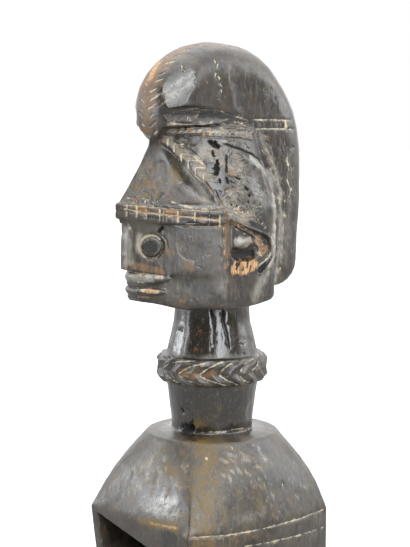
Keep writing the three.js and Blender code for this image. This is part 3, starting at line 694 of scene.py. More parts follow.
# Polish on the temple's rim, with a painted sheen of grey over it.
patch(RIM_POLISH_AND_PAINTED_SHEEN, 8, 1.8, scuff=0.5, polish=0.6)
hatch(DRY_AREA, 10, 260, -60, 7, 0.45, 0.4, 0.35, residue=0.6)
hatch(DRY_AREA, 9, 150, -65, 5, 0.5, 0.5, 0.5, pit=0.42)
hatch(RIM_CUTS, 6, 60, 20, 5, 0.5, 0.3, 0.5, residue=0.62)
hatch(RIM_SPLITS, 6, 22, 30, 5, 0.5, 0.35, 0.6, pit=0.42)
hatch(LOWER_SCRATCHES, 7, 14, -20, 7, 0.5, 0.2, 0.2, residue=0.6)
HOLES = [([(211.5, 142.5), (217, 146)], 2.3, 3.4), ([(212.6, 151), (213.4, 156)], 0.8, 1.6),
         ([(217.8, 160), (217.2, 166)], 1.1, 3.0), ([(216.6, 167), (216.6, 172.5)], 1.8, 3.6),
         ([(219.5, 179.5), (219.8, 182.5)], 0.7, 1.5), ([(226.5, 156), (226.7, 172)], 0.75, 1.3),
         ([(227, 178.5), (228, 182.5)], 1.0, 1.8), ([(245.5, 187.5), (248, 190)], 1.0, 1.8),
         ([(249.5, 195.7)], 1.25, 3.0), ([(248.7, 202)], 0.9, 1.8), ([(232, 205)], 0.75, 1.4),
         ([(237.3, 206)], 0.75, 1.4), ([(237, 178), (240, 179)], 0.7, 1.2)]
for pixels, radius, depth in HOLES:
    pit(pixels, radius, depth, pit=1)
CRACK = [(221.7, 144.2), (227.3, 144.4), (234, 147.3), (240.6, 149.3), (246.7, 152.4), (252, 154), (262, 161)]
cut(CRACK, 0.8, 1.5, pit=0.95, rust=0.5)
patch(RUBBED_SPOT, 2.4, rust=1.0)
print(len(HOLES), "holes and the crack across the temple")

# %% [markdown]
# ## The face
# The brow band has two rows of round-edged blocks between pale lines. Under it are the eye, a round
# button in a pale ring, the flat nose with upright tool marks, and two thin lips.

# %% Brow band
TORN_BLOCK = [(166, 210.5), (176, 211.8)]
BLOCK_RUST = {127: (0.8, 0.5), 137: (0.9, 0.5), 146.5: (0.5, 0.1), 160: (0.3, 0.3), 163.8: (1.0, 0.7),
              178: (0.8, 0.2), 195: (0.2, 0.5), 209.5: (0.1, 0.2), 220: (0.5, 0.3)}   # upper and lower block
DIVIDERS = list(BLOCK_RUST)
BAND_TOP = [(121, 204), (143, 206), (165, 208), (190, 210), (219, 211.5)]
BAND_MIDDLE = [(123, 208.6), (137, 211.3), (161, 214.5), (177, 215.9), (195, 217.7), (219, 220.5)]
BAND_FOOT = [(125, 219), (145, 222), (161, 223.7), (177, 225.7), (197, 226.5), (219, 226.5)]
for band_line, amount in ((BAND_TOP, 0.8), (BAND_MIDDLE, 1.0), (BAND_FOOT, 0.75)):
    cut(band_line, 0.9, 0.9, 0.03, sides=2, residue=amount)
    patch(band_line, 1.1, 1.2, sides=2, raw=0.55 * amount + 0.12)
middle = np.array(BAND_MIDDLE, float)
for x, after in zip(DIVIDERS, DIVIDERS[1:] + [226]):
    y = np.interp(x, middle[:, 0], middle[:, 1])
    cut([(x, y - 6), (x, y + 6.5)], 0.9, 1.0, 0.05, sides=2, spacing=2, residue=chance.uniform(0.75, 1.0))
    for row, amount in zip((-3.3, 3.6), BLOCK_RUST[x]):
        block_middle = [(x + 2.5, y + row), (after - 2.5, y + row + 0.8)]
        patch(block_middle, 1.9, sides=2, rust=amount, pit=0.68 - 0.5 * amount)
patch(TORN_BLOCK, 1.5, raw=0.62, rust=1)
hatch(BAND_MIDDLE, 5, 70, 0, 5, 0.5, 0.25, 0.5, sides=2, residue=0.55)
print(len(DIVIDERS), "dividers on the brow band")

# %% Eye, nose and mouth
EYE_CORNER = [(158.5, 234), (163, 236.5), (166.5, 241), (167.5, 248)]
EYE_HAZE = [(139.5, 235), (138.5, 249)]
EYE_HOLE = [(158.8, 231.8), (162.2, 228.2)]
NOSE_PAINTED_REFLECTION = [(126, 230), (127, 262)]
NOSE_HOLE = [(128, 224.5), (130, 228)]
NOSE_TIP = [(124, 262), (125.5, 268)]
ABOVE_LIPS = [(135, 266), (150, 269), (162, 272)]
UPPER_LIP_LINE = [(129, 271.5), (141, 273.6), (156, 274.6), (167, 276)]
MOUTH_LINE = [(129, 287.5), (140, 287.3), (152, 287), (161, 286)]
UPPER_LIP = [(134, 275), (148, 276), (162, 277.5)]
LIP_HAZE = [(132, 279), (152, 280)]
LOWER_LIP = [(137, 290), (148, 290.5), (158, 291.8)]
LIP_SCRATCHES = [(140, 278), (162, 279)]
LIP_BREAK = [(147, 291), (157, 291.8)]
LIP_PAINTED_GLINT = [(138, 281.8), (143.5, 282.5)]
LIP_SHINE = [(137, 281), (156, 281)]
CHIN_LINE = [(136, 296), (150, 297)]
EYE_CENTRE = (151.3, 246.8)
EYE_TALL = 1.03            # its height over its width in the view


def eye_arc(radius, start, end):
    """Pixels on a circle round the eye; angles in degrees, clockwise from the right."""
    turns = np.radians(np.linspace(start, end, 25))
    x, y = EYE_CENTRE
    return [(x + radius * math.cos(a), y + EYE_TALL * radius * math.sin(a)) for a in turns]


cut(eye_arc(11.2, 0, 360), 1.1, 1.2, 0, sides=2, stain=0.5)
cut(eye_arc(11.6, 110, 330), 0.8, 0.4, 0.05, sides=2, residue=1.15)
cut(eye_arc(11.6, -30, 60), 0.7, 0.3, 0.1, sides=2, residue=0.7)
cut(EYE_CORNER, 0.7, 0.4, residue=0.65)
patch([EYE_CENTRE], 5.6, 0.4, pit=0.68, rust=0.7)
patch(EYE_HAZE, 2.2, 1.8, scuff=0.9)
pit(EYE_HOLE, 1.05, 2.4, pit=1)
NOSE_PITCH = (123.3, 133, 1.6)   # pixels: from the first tool mark to the last, and between two
for x in np.arange(*NOSE_PITCH):
    tool_mark = [(x, 226 + chance.uniform(0, 8)), (x - 0.5, 264 + chance.uniform(-12, 3))]
    cut(tool_mark, 0.65, 0.45, sides=2, residue=chance.uniform(0.4, 0.65))
# Painted reflection: a grey strip down the front of the nose.
patch(NOSE_PAINTED_REFLECTION, 4, 1.3, scuff=0.7)
pit(NOSE_HOLE, 1.2, 1.0, residue=0.9)
patch(NOSE_TIP, 2.2, raw=0.55, rust=0.9)
patch(ABOVE_LIPS, 3.0, rust=0.75)
cut(UPPER_LIP_LINE, 0.8, 0.8, sides=2, residue=0.5, rust=0.7)
cut(MOUTH_LINE, 1.2, 1.0, sides=2, pit=0.6, rust=0.6)
patch(UPPER_LIP, 2.4, 1.4, sides=2, residue=0.74, scuff=0.6)
patch(LIP_HAZE, 2.6, 1.4, sides=2, scuff=0.75)
patch(LOWER_LIP, 1.5, sides=2, residue=0.9)
hatch(LIP_SCRATCHES, 3, 24, 0, 5, 0.5, 0.2, 0.3, sides=2, residue=0.6)
patch(LIP_BREAK, 1.6, raw=0.8, residue=1.0)
# Painted glint: a small cream spot on the upper lip, over polish.
patch(LIP_PAINTED_GLINT, 0.9, residue=0.8, polish=1)
patch(LIP_SHINE, 2.4, polish=0.7)
cut(CHIN_LINE, 0.9, 0.5, sides=2, rust=0.95)
print("face carved")

# %% Cheek and jaw
CHEEK_SHINE = [(180, 240), (206, 246)]
CHEEK_BROWN = [(186, 262), (190, 270)]
JAW_DARK_BAND = [(170, 275), (190, 272), (212, 268)]
CHEEK_DUST = [(172, 236), (205, 262)]
CHEEK_FLECKS = [(170, 245), (190, 262)]
CHEEK_SCRATCHES = [(190, 232), (218, 262)]
CHEEK_CUT = [(195, 266), (203, 268.5)]
JAW_CHIP = [(181.5, 300.5), (185, 301.5)]
JAW_CUT = [(187, 299), (195, 299.5)]
JAW_SCRATCHES = [(150, 300), (255, 300)]
CHEEK_HOOK = [(217.5, 246), (220.5, 248), (222.5, 253), (222.5, 259)]
HOOK_DUST = [(209, 266), (220, 268)]
patch(CHEEK_SHINE, 11, 1.8, polish=0.35, pit=0.53)
patch(CHEEK_BROWN, 4.5, 1.3, rust=0.62, pit=0.3)
# A darker band along the jaw, under the cheek's step.
patch(JAW_DARK_BAND, 7, 1.8, pit=0.54)
hatch(CHEEK_DUST, 12, 90, 60, 4, 0.45, 0.06, 0.9, residue=0.58)
hatch(CHEEK_FLECKS, 9, 40, 60, 3, 0.7, 0.06, 1.2, rust=0.75)
hatch(CHEEK_SCRATCHES, 9, 44, 45, 7, 0.45, 0.08, 0.15, residue=0.5)
cut(CHEEK_CUT, 0.6, 0.3, residue=0.7)
patch(JAW_CHIP, 1.6, residue=0.55, rust=0.8)
cut(JAW_CUT, 0.5, 0.2, residue=0.6)
hatch(JAW_SCRATCHES, 6, 50, 0, 6, 0.5, 0.15, 0.6, residue=0.45)
cut(CHEEK_HOOK, 0.7, 0.4, residue=0.7)
patch(HOOK_DUST, 2.0, residue=0.5)
print("cheek worked")

# %% Ear
STRIP_FRONT = [(223.7, 211), (224.2, 240), (224.6, 268)]
STRIP_BACK = [(227.2, 214), (227.6, 240), (227.6, 266)]
EAR_FRONT = [(230.4, 222), (230.8, 245), (230.4, 262)]
UNDER_RIDGE_GROOVE_AND_PAINTED_SHADOW = [(232, 225.5), (241, 230.5), (250, 235), (257, 240)]
RIDGE_DUST = [(231, 226), (240, 231), (250, 236), (256, 239)]
TORN_TOP = [(230, 212), (246, 218), (254, 215)]
TOP_CHIPS = [(229, 208), (262, 214)]
TOP_BREAKS = [(229, 214), (256, 222)]
EAR_BACK = [(253, 224), (262, 229), (267, 236)]
KNOB_PAINTED_HIGHLIGHT = [(238, 242), (242.5, 246), (247.5, 243)]
EAR_HOLLOW_PAINTED_SHADE = [(234, 254), (243, 254.5), (252, 253)]
HOLLOW_BROWN = [(248, 254), (253, 256)]
TORN_LOBE = [(236, 268), (245, 267), (252, 266)]
LOBE_FIBRES = [(234, 266), (254, 266)]
LOBE_SPLITS = [(236, 266), (252, 266)]
EAR_WORN = [(257, 240), (264, 249)]
LOBE_LINE = [(272, 251.7), (265.7, 260.3), (259, 265), (256, 271)]
BEHIND_LOBE = [(272.5, 254), (268, 262), (262, 268.5), (257.5, 272.5)]
EAR_CUTS = [(256, 240), (266, 256)]
EAR_NICKS = [(258, 240), (265, 254)]
JAW_CORNER_PAINTED_SHEEN = [(264, 278), (258, 288), (255, 298)]
CORNER_GRAIN = [(269, 270), (266, 298)]
RIM_PAINTED_HIGHLIGHT = [(275, 210), (275.5, 240), (274, 262)]
BEHIND_RIM_PAINTED_SHEEN = [(279, 196), (283, 225), (281, 262)]
STRIP = [(226, 211), (226.5, 240), (226.8, 266)]
patch(STRIP, 2.4, sides=2, rust=0.8, raw=0.42)
cut(STRIP_FRONT, 0.7, 0.8, sides=2, residue=0.7)
cut(STRIP_BACK, 0.7, 1.1, sides=2, pit=0.5)
cut(EAR_FRONT, 0.65, 0.6, sides=2, residue=0.6)
hatch(STRIP, 3, 30, 0, 8, 0.5, 0.4, 0.08, sides=2, residue=0.6)
EAR_RIDGE = [(229.5, 221), (238, 226.5), (246.5, 231.5), (254.5, 235), (260, 237.5)]
patch(EAR_RIDGE, 1.6, 1.6, sides=2, rust=0.8, raw=0.4)
hatch(EAR_RIDGE, 3, 80, 0, 5, 0.5, 0.4, 0.35, sides=2, residue=0.72)
hatch(EAR_RIDGE, 2.5, 40, 10, 4, 0.5, 0.5, 0.4, sides=2, pit=0.6)
# A groove under the ear's ridge, blackened as a painted shadow.
cut(UNDER_RIDGE_GROOVE_AND_PAINTED_SHADOW, 0.9, 0.9, sides=2, pit=0.8)
cut(RIDGE_DUST, 0.7, 0.6, sides=2, residue=0.6)
patch(TORN_TOP, 5.0, 1.5, dry=0.85, residue=0.5)
hatch(TOP_CHIPS, 8, 90, -10, 5, 0.6, 0.6, 0.8, residue=0.75)
hatch(TOP_BREAKS, 6, 30, 20, 4, 0.6, 0.6, 0.8, rust=0.9, raw=0.5)
patch(EAR_BACK, 3.2, pit=0.66, polish=0.4)
EAR_TICKS = ((254, 225), (257.5, 226), (261, 225), (263, 230), (266, 237), (268.5, 241))
for x, y in EAR_TICKS:
    cut([(x, y), (x + 3.5, y - 4)], 0.55, 0.4, residue=0.85)
# Painted highlight: strong grey on the facet of the ear's knob.
patch(KNOB_PAINTED_HIGHLIGHT, 3.6, 0.7, scuff=1.5)
# Painted shade: black darkening in the ear's hollow.
patch(EAR_HOLLOW_PAINTED_SHADE, 3.0, pit=0.72)
patch(HOLLOW_BROWN, 1.8, rust=0.8)
patch(TORN_LOBE, 5.2, 0.8, raw=0.9)
hatch(LOBE_FIBRES, 6, 40, 84, 8, 0.55, 0.5, 0.1, raw=0.9)
hatch(LOBE_SPLITS, 6, 16, 105, 9, 0.6, 0.6, 0.12, pit=0.85)
patch(EAR_WORN, 4.0, 1.5, rust=0.7, raw=0.62, dry=0.8)
cut(LOBE_LINE, 0.75, 0.6, sides=2, residue=0.95)
cut(BEHIND_LOBE, 1.3, 1.3, sides=2, pit=0.65)
hatch(EAR_CUTS, 6, 60, 30, 4, 0.5, 0.35, 0.6, residue=0.75)
hatch(EAR_NICKS, 5, 30, 100, 3, 0.5, 0.4, 0.6, pit=0.6)
# Painted sheen: grey on the jaw's back corner.
patch(JAW_CORNER_PAINTED_SHEEN, 5.0, 1.8, scuff=0.72)
hatch(CORNER_GRAIN, 2.5, 26, 0, 12, 0.55, 0.35, 0.08, sides=2, residue=0.6, dry=0.5)
# Painted highlight along the rim round the temple and the ear, and painted sheen behind it.
patch(RIM[:7], 2.4, 1.8, sides=2, scuff=0.85)
patch(RIM_PAINTED_HIGHLIGHT, 2.6, 1.8, sides=2, scuff=0.85)
patch(BEHIND_RIM_PAINTED_SHEEN, 2.4, 1.5, sides=2, scuff=0.6)
print("ear worked")

# %% [markdown]
# ## Neck, ring and shoulders
# The neck is planed upright and polished, with painted glints on its facets and painted shade on its
# lower part, two drying cracks under the jaw and two worm holes at its foot. The plaited ring keeps
# pale dust in its valleys, with a painted shadow under each strand. The shoulder dome is smooth, with
# painted sheen and highlights, an olive run of old oil down its middle and two lines cut round the
# body under its edge.

# %% Neck and ring
NECK_CRACK = [(211, 311), (212.7, 318), (213.8, 330), (213.6, 347)]
LONG_CRACK = [(222.5, 310.7), (223.4, 320.5), (227, 332), (229.6, 350)]
LONG_CRACK_HOLE = [(223, 311), (223.4, 316)]
NECK_CRACK_HOLE = [(211.2, 311), (212, 315)]
NECK_BROWN = [(200, 320), (199, 352)]
NECK_SCRATCHES = [(216, 318), (216, 358)]
NECK_NICKS = [(246, 337), (248, 344)]
SMALL_HOLE = [(182.8, 411)]
FOOT_HOLE = [(187, 428.5), (191, 429)]
FOOT_GRIME = [(180, 415), (183, 423)]
LOWER_NECK_PAINTED_SHADE = [(215, 392), (218, 420)]
FOOT_OIL = [(196, 422), (203, 424)]
FOOT_SCRATCHES = [(190, 437), (250, 432)]
RING_BREAK = [(186, 376), (193, 377.5)]
RING_BROWN = [(180, 371), (205, 377), (215, 372)]
RING_SPLITS = [(242, 376), (252, 377)]
RING_SCRATCHES = [(165, 372), (258, 372)]
UPPER_NECK = (165, 190)    # mm, between the ring and the jaw
LOWER_NECK = (112, 141)
neck_wood = np.hypot(wood.spot[:, 0], wood.spot[:, 1]) < 36
cut(NECK_CRACK, 0.65, 0.9, pit=0.8, residue=0.4)
cut(LONG_CRACK, 0.75, 1.5, pit=1)
pit(LONG_CRACK_HOLE, 1.0, 2.2, pit=1)
pit(NECK_CRACK_HOLE, 0.8, 1.8, pit=1)
for heights, amount in ((UPPER_NECK, 0.85), (LOWER_NECK, 0.8)):
    mark["polish"] = np.maximum(mark["polish"], amount * between(wood.spot[:, 2], *heights, 3) * neck_wood)
# Polish on the neck's facets, with grey painted glints over it.
NECK_POLISH_AND_PAINTED_GLINTS = ([(218.5, 316), (218.5, 356)], [(182, 316), (181, 352)], [(188, 316), (188, 334)],
                [(232, 322), (233, 348)])
for streak in NECK_POLISH_AND_PAINTED_GLINTS:
    patch(streak, 3.4, 1.4, polish=1.0, scuff=0.4)
patch(NECK_BROWN, 4, 1.2, rust=0.55)
hatch(NECK_SCRATCHES, 8, 26, 0, 9, 0.45, 0.18, 0.12, residue=0.52)
hatch(NECK_NICKS, 6, 12, 40, 4, 0.6, 0.35, 0.8, residue=0.68)
pit(SMALL_HOLE, 1.1, 2.5, pit=1)
pit(FOOT_HOLE, 3.3, 4.5, pit=1.2)
patch(FOOT_GRIME, 3.2, 1.2, pit=0.42)
# Painted shade: the lower neck, which faces down, darkened with black.
patch(LOWER_NECK_PAINTED_SHADE, 16, 1.6, pit=0.34)
patch(FOOT_OIL, 3.2, stain=0.9)
FOOT_LINES = ([(193, 433), (222.5, 431.3), (252, 427)], [(185, 435.7), (213.6, 437.5), (238, 437.3)])
for foot_line, amount in zip(FOOT_LINES, (0.72, 0.55)):
    cut(foot_line, 0.75, 0.5, residue=amount)
hatch(FOOT_SCRATCHES, 3, 24, 0, 9, 0.5, 0.2, 0.15, residue=0.5)
PLAIT_VALLEYS = [[(162, 369), (168, 364), (177, 361.5), (196, 361)], [(177, 374), (192, 366), (211, 362)],
                 [(199, 375), (210, 367.5), (225, 361)], [(218, 374), (229, 364.5), (240, 359.5)],
                 [(240, 373), (244, 364), (255, 357.5)], [(258, 353), (258.5, 364), (252, 371)],
                 [(177, 374.5), (187, 380.5), (202, 385.5)], [(199, 376), (210, 381), (226, 386)],
                 [(219, 375), (228, 381), (239, 385.5)], [(240, 375), (243, 380), (249, 383)],
                 [(165, 374), (172, 380), (182, 384)]]
for valley in PLAIT_VALLEYS:
    cut(valley, 0.75, 0.5, 0.06, spacing=2, residue=chance.uniform(0.75, 0.95))
    # Painted shadow: a dark line just under each pale valley, below each strand.
    cut(np.array(valley) + (0.6, 1.7), 0.8, 0.5, 0.1, spacing=2, pit=0.55)
patch(RING_BREAK, 2.0, rust=1, raw=0.6)
patch(RING_BROWN, 3.5, 1.2, rust=0.75)
hatch(RING_SPLITS, 5, 22, 40, 2, 0.7, 0.7, 1.0, pit=0.6)
hatch(RING_SCRATCHES, 9, 80, 20, 4, 0.5, 0.25, 0.7, residue=0.6)
print("neck and ring worked")

# %% Shoulders and trunk
FRONT_EDGE = [(97, 498), (110, 510), (136, 520)]
OLD_OIL = [(150, 470), (240, 462), (262, 500)]
RUN_GRIME = [(214, 450), (212, 480), (216, 520)]
OIL_SPOT = [(163, 469), (176, 471)]
OIL_HAZE = [(150, 478), (176, 484)]
EDGE_BROWN = [(190, 541), (211, 541)]
EDGE_SPLITS = [(189, 541), (214, 541)]
UNDER_EDGE = [(225, 540), (268, 534)]
SHOULDER_POLISH_AND_PAINTED_HIGHLIGHT = [(146, 509), (163, 504), (176, 512)]
SHOULDER_PAINTED_HIGHLIGHT = [(235, 520), (262, 514)]
DOME_SCRATCHES = [(228, 450), (292, 505)]
DOME_NICKS = [(120, 480), (185, 470)]
SHINE_SCRATCHES = [(148, 505), (180, 512)]
DOME_CUTS = [(232, 446), (258, 452)]
BODY_LINES = ([(187, 537.6), (212.8, 536.4), (230, 535), (264.4, 528.7), (299, 519), (325, 509)],
              [(242, 547), (269.6, 542.4), (299, 535.5), (328, 526)])
for body_line in BODY_LINES:
    cut(body_line, 0.75, 0.7, 0.03, sides=2, residue=0.85)
WORN_EDGE = [(138, 520.5), (150, 523.2), (164, 526), (177, 528.6)]
patch(WORN_EDGE, 1.9, 1.2, stain=1.9)
patch(WORN_EDGE[1:], 1.2, 1.2, stain=2.3)
hatch(WORN_EDGE[1:], 1.5, 22, 6, 4, 0.45, 0.15, 0.4, pit=0.5, residue=0.6)
patch(FRONT_EDGE, 1.6, 1.4, residue=0.5, raw=0.5)
STAIN_RUN = [(207, 443), (208, 462), (203, 484), (205, 510), (203, 532)]
patch(STAIN_RUN, 19, 1.8, stain=0.75)
patch(STAIN_RUN, 8, 1.8, stain=1.0, rust=0.5)
patch(OLD_OIL, 26, 1.8, stain=0.55)
patch(RUN_GRIME, 3.5, 1.8, pit=0.45)
hatch(STAIN_RUN, 13, 70, 0, 10, 0.9, 0.12, 0.25, stain=1.35)
hatch(STAIN_RUN, 12, 36, 0, 9, 0.9, 0.12, 0.25, pit=0.45)
hatch(STAIN_RUN, 10, 30, 0, 8, 0.5, 0.1, 0.3, residue=0.5)
patch(OIL_SPOT, 5, 1.4, stain=1.1)
patch(OIL_HAZE, 8, 1.8, stain=0.55)
patch(EDGE_BROWN, 6, 1.6, rust=0.72)
hatch(EDGE_SPLITS, 5, 20, 80, 6, 0.6, 0.15, 0.4, pit=0.5)
patch(UNDER_EDGE, 4, 1.2, rust=0.6)
# Polish with a painted highlight of grey on the shoulders' front, and a painted highlight on their right
# side.
patch(SHOULDER_POLISH_AND_PAINTED_HIGHLIGHT, 9, 1.5, polish=1.0, scuff=0.45)
patch(SHOULDER_PAINTED_HIGHLIGHT, 6, 1.8, scuff=0.5)
# Painted sheen: a light grey over the whole shoulder dome.
painted_shoulder_sheen = between(wood.spot[:, 2], 60, 108, 4)
mark["scuff"] = np.maximum(mark["scuff"], 0.30 * painted_shoulder_sheen)
hatch(DOME_SCRATCHES, 22, 60, 0, 14, 0.45, 0.05, 0.25, scuff=0.65)
hatch(DOME_NICKS, 20, 60, 60, 9, 0.5, 0.04, 0.5, scuff=0.65)
hatch(SHINE_SCRATCHES, 9, 30, 80, 8, 0.45, 0.05, 0.6, scuff=0.8)
DOME_CHIPS = ((279, 509.4), (282.5, 483), (206, 457), (232, 447))
for x, y in DOME_CHIPS:
    pit([(x, y), (x + 0.6, y + 2.5)], 0.7, 0.3, residue=0.95)
hatch(DOME_CUTS, 5, 18, 0, 7, 0.5, 0.2, 0.3, residue=0.55)
print("shoulders and trunk worked")

# %% [markdown]
# ## Tool marks and grain
# Between the cuts the surface still shows the blade: shallow lumps a few millimetres across, and
# long shallow furrows that follow the upright grain. They are real relief, a few tenths of a mm.

# %% Small relief
LUMP_DEPTH = 0.16
FURROW_DEPTH = 0.10
INSIDE = (44, 58)          # mm: the chest hollow's half width and its top, where no relief is spent
rumple = lumps(6, 1) * LUMP_DEPTH + lumps(2.8, 2) * LUMP_DEPTH * 0.4
furrows = lumps((1.5, 1.5, 22), 3) * FURROW_DEPTH + lumps((0.9, 0.9, 12), 4) * FURROW_DEPTH * 0.6
x, y, z = wood.spot.T
quiet = np.where((abs(x) < INSIDE[0]) & (z < INSIDE[1]) & (abs(y) < 54), 0.25, 1)
furrows *= np.where(z > CREST_SIDE[0], 0.25, 1)
furrows *= np.where(between(z, 165, 191) * neck_wood > 0.5, 0.25, 1)
SMOOTH_PLACES = [          # pixels and reach in mm; the blade's marks are polished down here
    ([(243, 166), (257, 180), (263, 200), (262, 215)], 8),    # the temple's rim
    ([(257, 278), (262, 286), (256, 296)], 8),                # the jaw's corner
    ([(146, 508), (165, 504), (178, 511)], 13),               # the shoulders' front
    ([(150, 480), (172, 470)], 16),
    ([(180, 240), (205, 243), (206, 262), (182, 262)], 12),   # the cheek
    ([(217.5, 316), (218.5, 356)], 9)]                        # the neck's front
for smooth_line, reach in SMOOTH_PLACES:
    rows, off, _ = near_line(on_wood(smooth_line), reach)
    quiet[rows] *= 1 - 0.7 * ease((reach - off) / 4)
relief = raised - sunk + (rumple + furrows) * ease(from_edge / 2 + 0.3) * quiet
relief[z < 1.0] = 0
fine = wood.moved(relief)
print("relief from", round(relief.min(), 2), "to", round(relief.max(), 2), "mm")

# %% [markdown]
# ## One light mesh
# The grid has far more vertices than the form needs. Decimation keeps small triangles where the
# surface bends and spends few on the flat trunk and inside the chest. The marks are carried over
# from the nearest vertex of the fine grid and stored as attributes that the material reads. One
# more, "bulge", says how far a place stands out from its surroundings: edges rub, hollows gather.

# %% Decimate and carry the marks over
TRIANGLES = 195_000
FULL_BULGE = 0.35          # mm out from the surroundings that count as fully rubbed
KEEP_MARKS = 0.02          # how strongly worthwhile places hold on to their small triangles
carved_spots = rows_of(fine, "co")
soft = with_modifiers(fine, ("SMOOTH", {}, {"factor": 0.5, "iterations": 14}))
bulge = ((carved_spots - rows_of(soft, "co")) * rows_of(fine, "normal")).sum(1)
seen = ease((wood.facing @ toward_camera + 0.3) / 0.4)
marked = np.max([mark[name] for name in MARKS if name not in ("polish", "scuff", "stain")], axis=0)
# The head's seen side is worth most, then its other side and the neck, and every mark adds to that.
worth = np.clip((0.25 + 0.45 * seen) * (z > 190) + 0.12 * (z > 105) + 0.7 * marked, 0, 1)
worth = np.where(z < 57, 0.3 * marked, worth)
light = with_modifiers(fine, ("DECIMATE", {"spare": 1 - worth}, {
    "ratio": TRIANGLES / (2 * len(fine.polygons)), "use_collapse_triangulate": True,
    "vertex_group": "spare", "vertex_group_factor": KEEP_MARKS}))
vertex_tree = nearness(carved_spots)
nearest = np.array([vertex_tree.find(p)[1] for p in rows_of(light, "co")])
mark["bulge"] = np.clip(bulge / FULL_BULGE, -1, 1) * (1 - np.clip(2 * mark["pit"], 0, 1))
for name, values in mark.items():
    layer = light.attributes.new(name, "FLOAT", "POINT")
    layer.data.foreach_set("value", values[nearest].astype(np.float32))
light.transform(Matrix.Scale(MM, 4))
light.shade_smooth()
figure = object_of(light, "carved_wood")
print("carved wood:", len(light.polygons), "triangles")

# %% [markdown]
# ## The patinated wood
# This is a dense hardwood darkened by handling, oil and smoke to a brown black, which reads grey
# where the polish mirrors a bright room. The finish is built up in layers, as it was in life: the
# dark patina, grain and scratches over it, then dust, dirt and breaks. Some layers also paint light
# and shade into the colour: the grey scuff layer paints highlights and sheen, the dust and dry-wood
# layers paint light into a few shaded places, and the black layer paints shade in hollows and under
# overhangs. Each layer is a mark or the bulge plus a fine pattern, cut off between two levels, so
# that its edge is ragged and crisp.

# %% Material
PATINA_DARK = "#1d1813"    # near black oiled wood
PATINA_MID = "#3a332a"     # the same, where handling has thinned it
WARM_BROWN = "#483722"     # where the wood's own brown comes through
RUBBED_BROWN = "#5e401d"   # rubbed down to brown
SCUFF_AND_PAINTED_SHEEN_GREY = "#8b867d"     # fine scratches and dry edges, and painted highlights and sheen
WEATHERED_AND_PAINTED_LIGHT = "#7f7566"      # dry wood that has lost its oil, and painted light under the crest
OLIVE_STAIN = "#4d3a05"    # old palm oil
OCHRE_EDGE = "#876a30"     # an edge worn through the stain to the yellow wood
DUST_AND_PAINTED_LIGHT_CREAM = "#a69c85"     # pale dust and old clay in the cuts, and painted light on the lip's glint and under the crest
RAW_TAN = "#a2835b"        # freshly broken wood
RAW_RED = "#7a5026"        # the edge of a break, darkened by the hand
# black of holes, and painted shade in hollows and under overhangs
HOLE_AND_PAINTED_SHADE_BLACK = "#0b0a09"


def linear(hex_colour):
    parts = [int(hex_colour[i:i + 2], 16) / 255 for i in (1, 3, 5)]
    return tuple(c / 12.92 if c < 0.04045 else ((c + 0.055) / 1.055) ** 2.4 for c in parts) + (1,)


def add(tree, kind, links=None, **settings):
    """One shader node, its settings, and what feeds its inputs: another node, a number or a colour."""
    made = tree.nodes.new(kind)
    for key, value in settings.items():
        setattr(made, key, value)
    for socket, source in (links or {}).items():
        if isinstance(source, bpy.types.Node):
            source = next(output for output in source.outputs if output.enabled)
        if isinstance(source, bpy.types.NodeSocket):
            tree.links.new(source, made.inputs[socket])
        else:
            made.inputs[socket].default_value = source
    return made


patina = bpy.data.materials.new("patinated_hardwood")
patina.use_nodes = True
tree = patina.node_tree
tree.nodes.clear()
place = add(tree, "ShaderNodeTexCoord").outputs["Object"]
PATTERNS = {               # size in mm, detail, roughness, stretch of X, Y, Z and turn in degrees
    "cloud": (18, 4, 0.6, (1, 1, 1), (0, 0, 0)),
    "mottle": (6, 6, 0.75, (1, 1, 1), (0, 0, 0)),
    "speck": (1.2, 5, 0.7, (1, 1, 1), (0, 0, 0)),
    "dimple": (5, 2, 0.5, (1, 1, 0.7), (0, 0, 0)),
    "pore": (0.8, 1, 0.5, (1, 1, 0.3), (0, 0, 0)),
    "fleck": (2.4, 6, 0.8, (1, 1, 0.5), (20, -15, 0)),
    "grain": (1.1, 4, 0.65, (1, 1, 0.08), (0, 0, 0)),
    "fibre": (0.8, 3, 0.6, (1, 1, 0.06), (0, 0, 0)),
    "streak": (0.7, 4, 0.8, (1, 1, 0.22), (9, -6, 0)),
    "scratch": (0.9, 2, 0.5, (1, 1, 0.07), (38, 8, 0)),
    "scratch_across": (0.9, 2, 0.5, (1, 1, 0.07), (-62, 0, 10))}
pattern = {}
for name, (size, detail, rough_part, stretch, turn) in PATTERNS.items():
    turned = add(tree, "ShaderNodeMapping", {
        "Vector": place, "Scale": stretch, "Rotation": [math.radians(angle) for angle in turn]})
    pattern[name] = add(tree, "ShaderNodeTexNoise", {
        "Vector": turned, "Scale": 1 / (size * MM), "Detail": detail, "Roughness": rough_part})
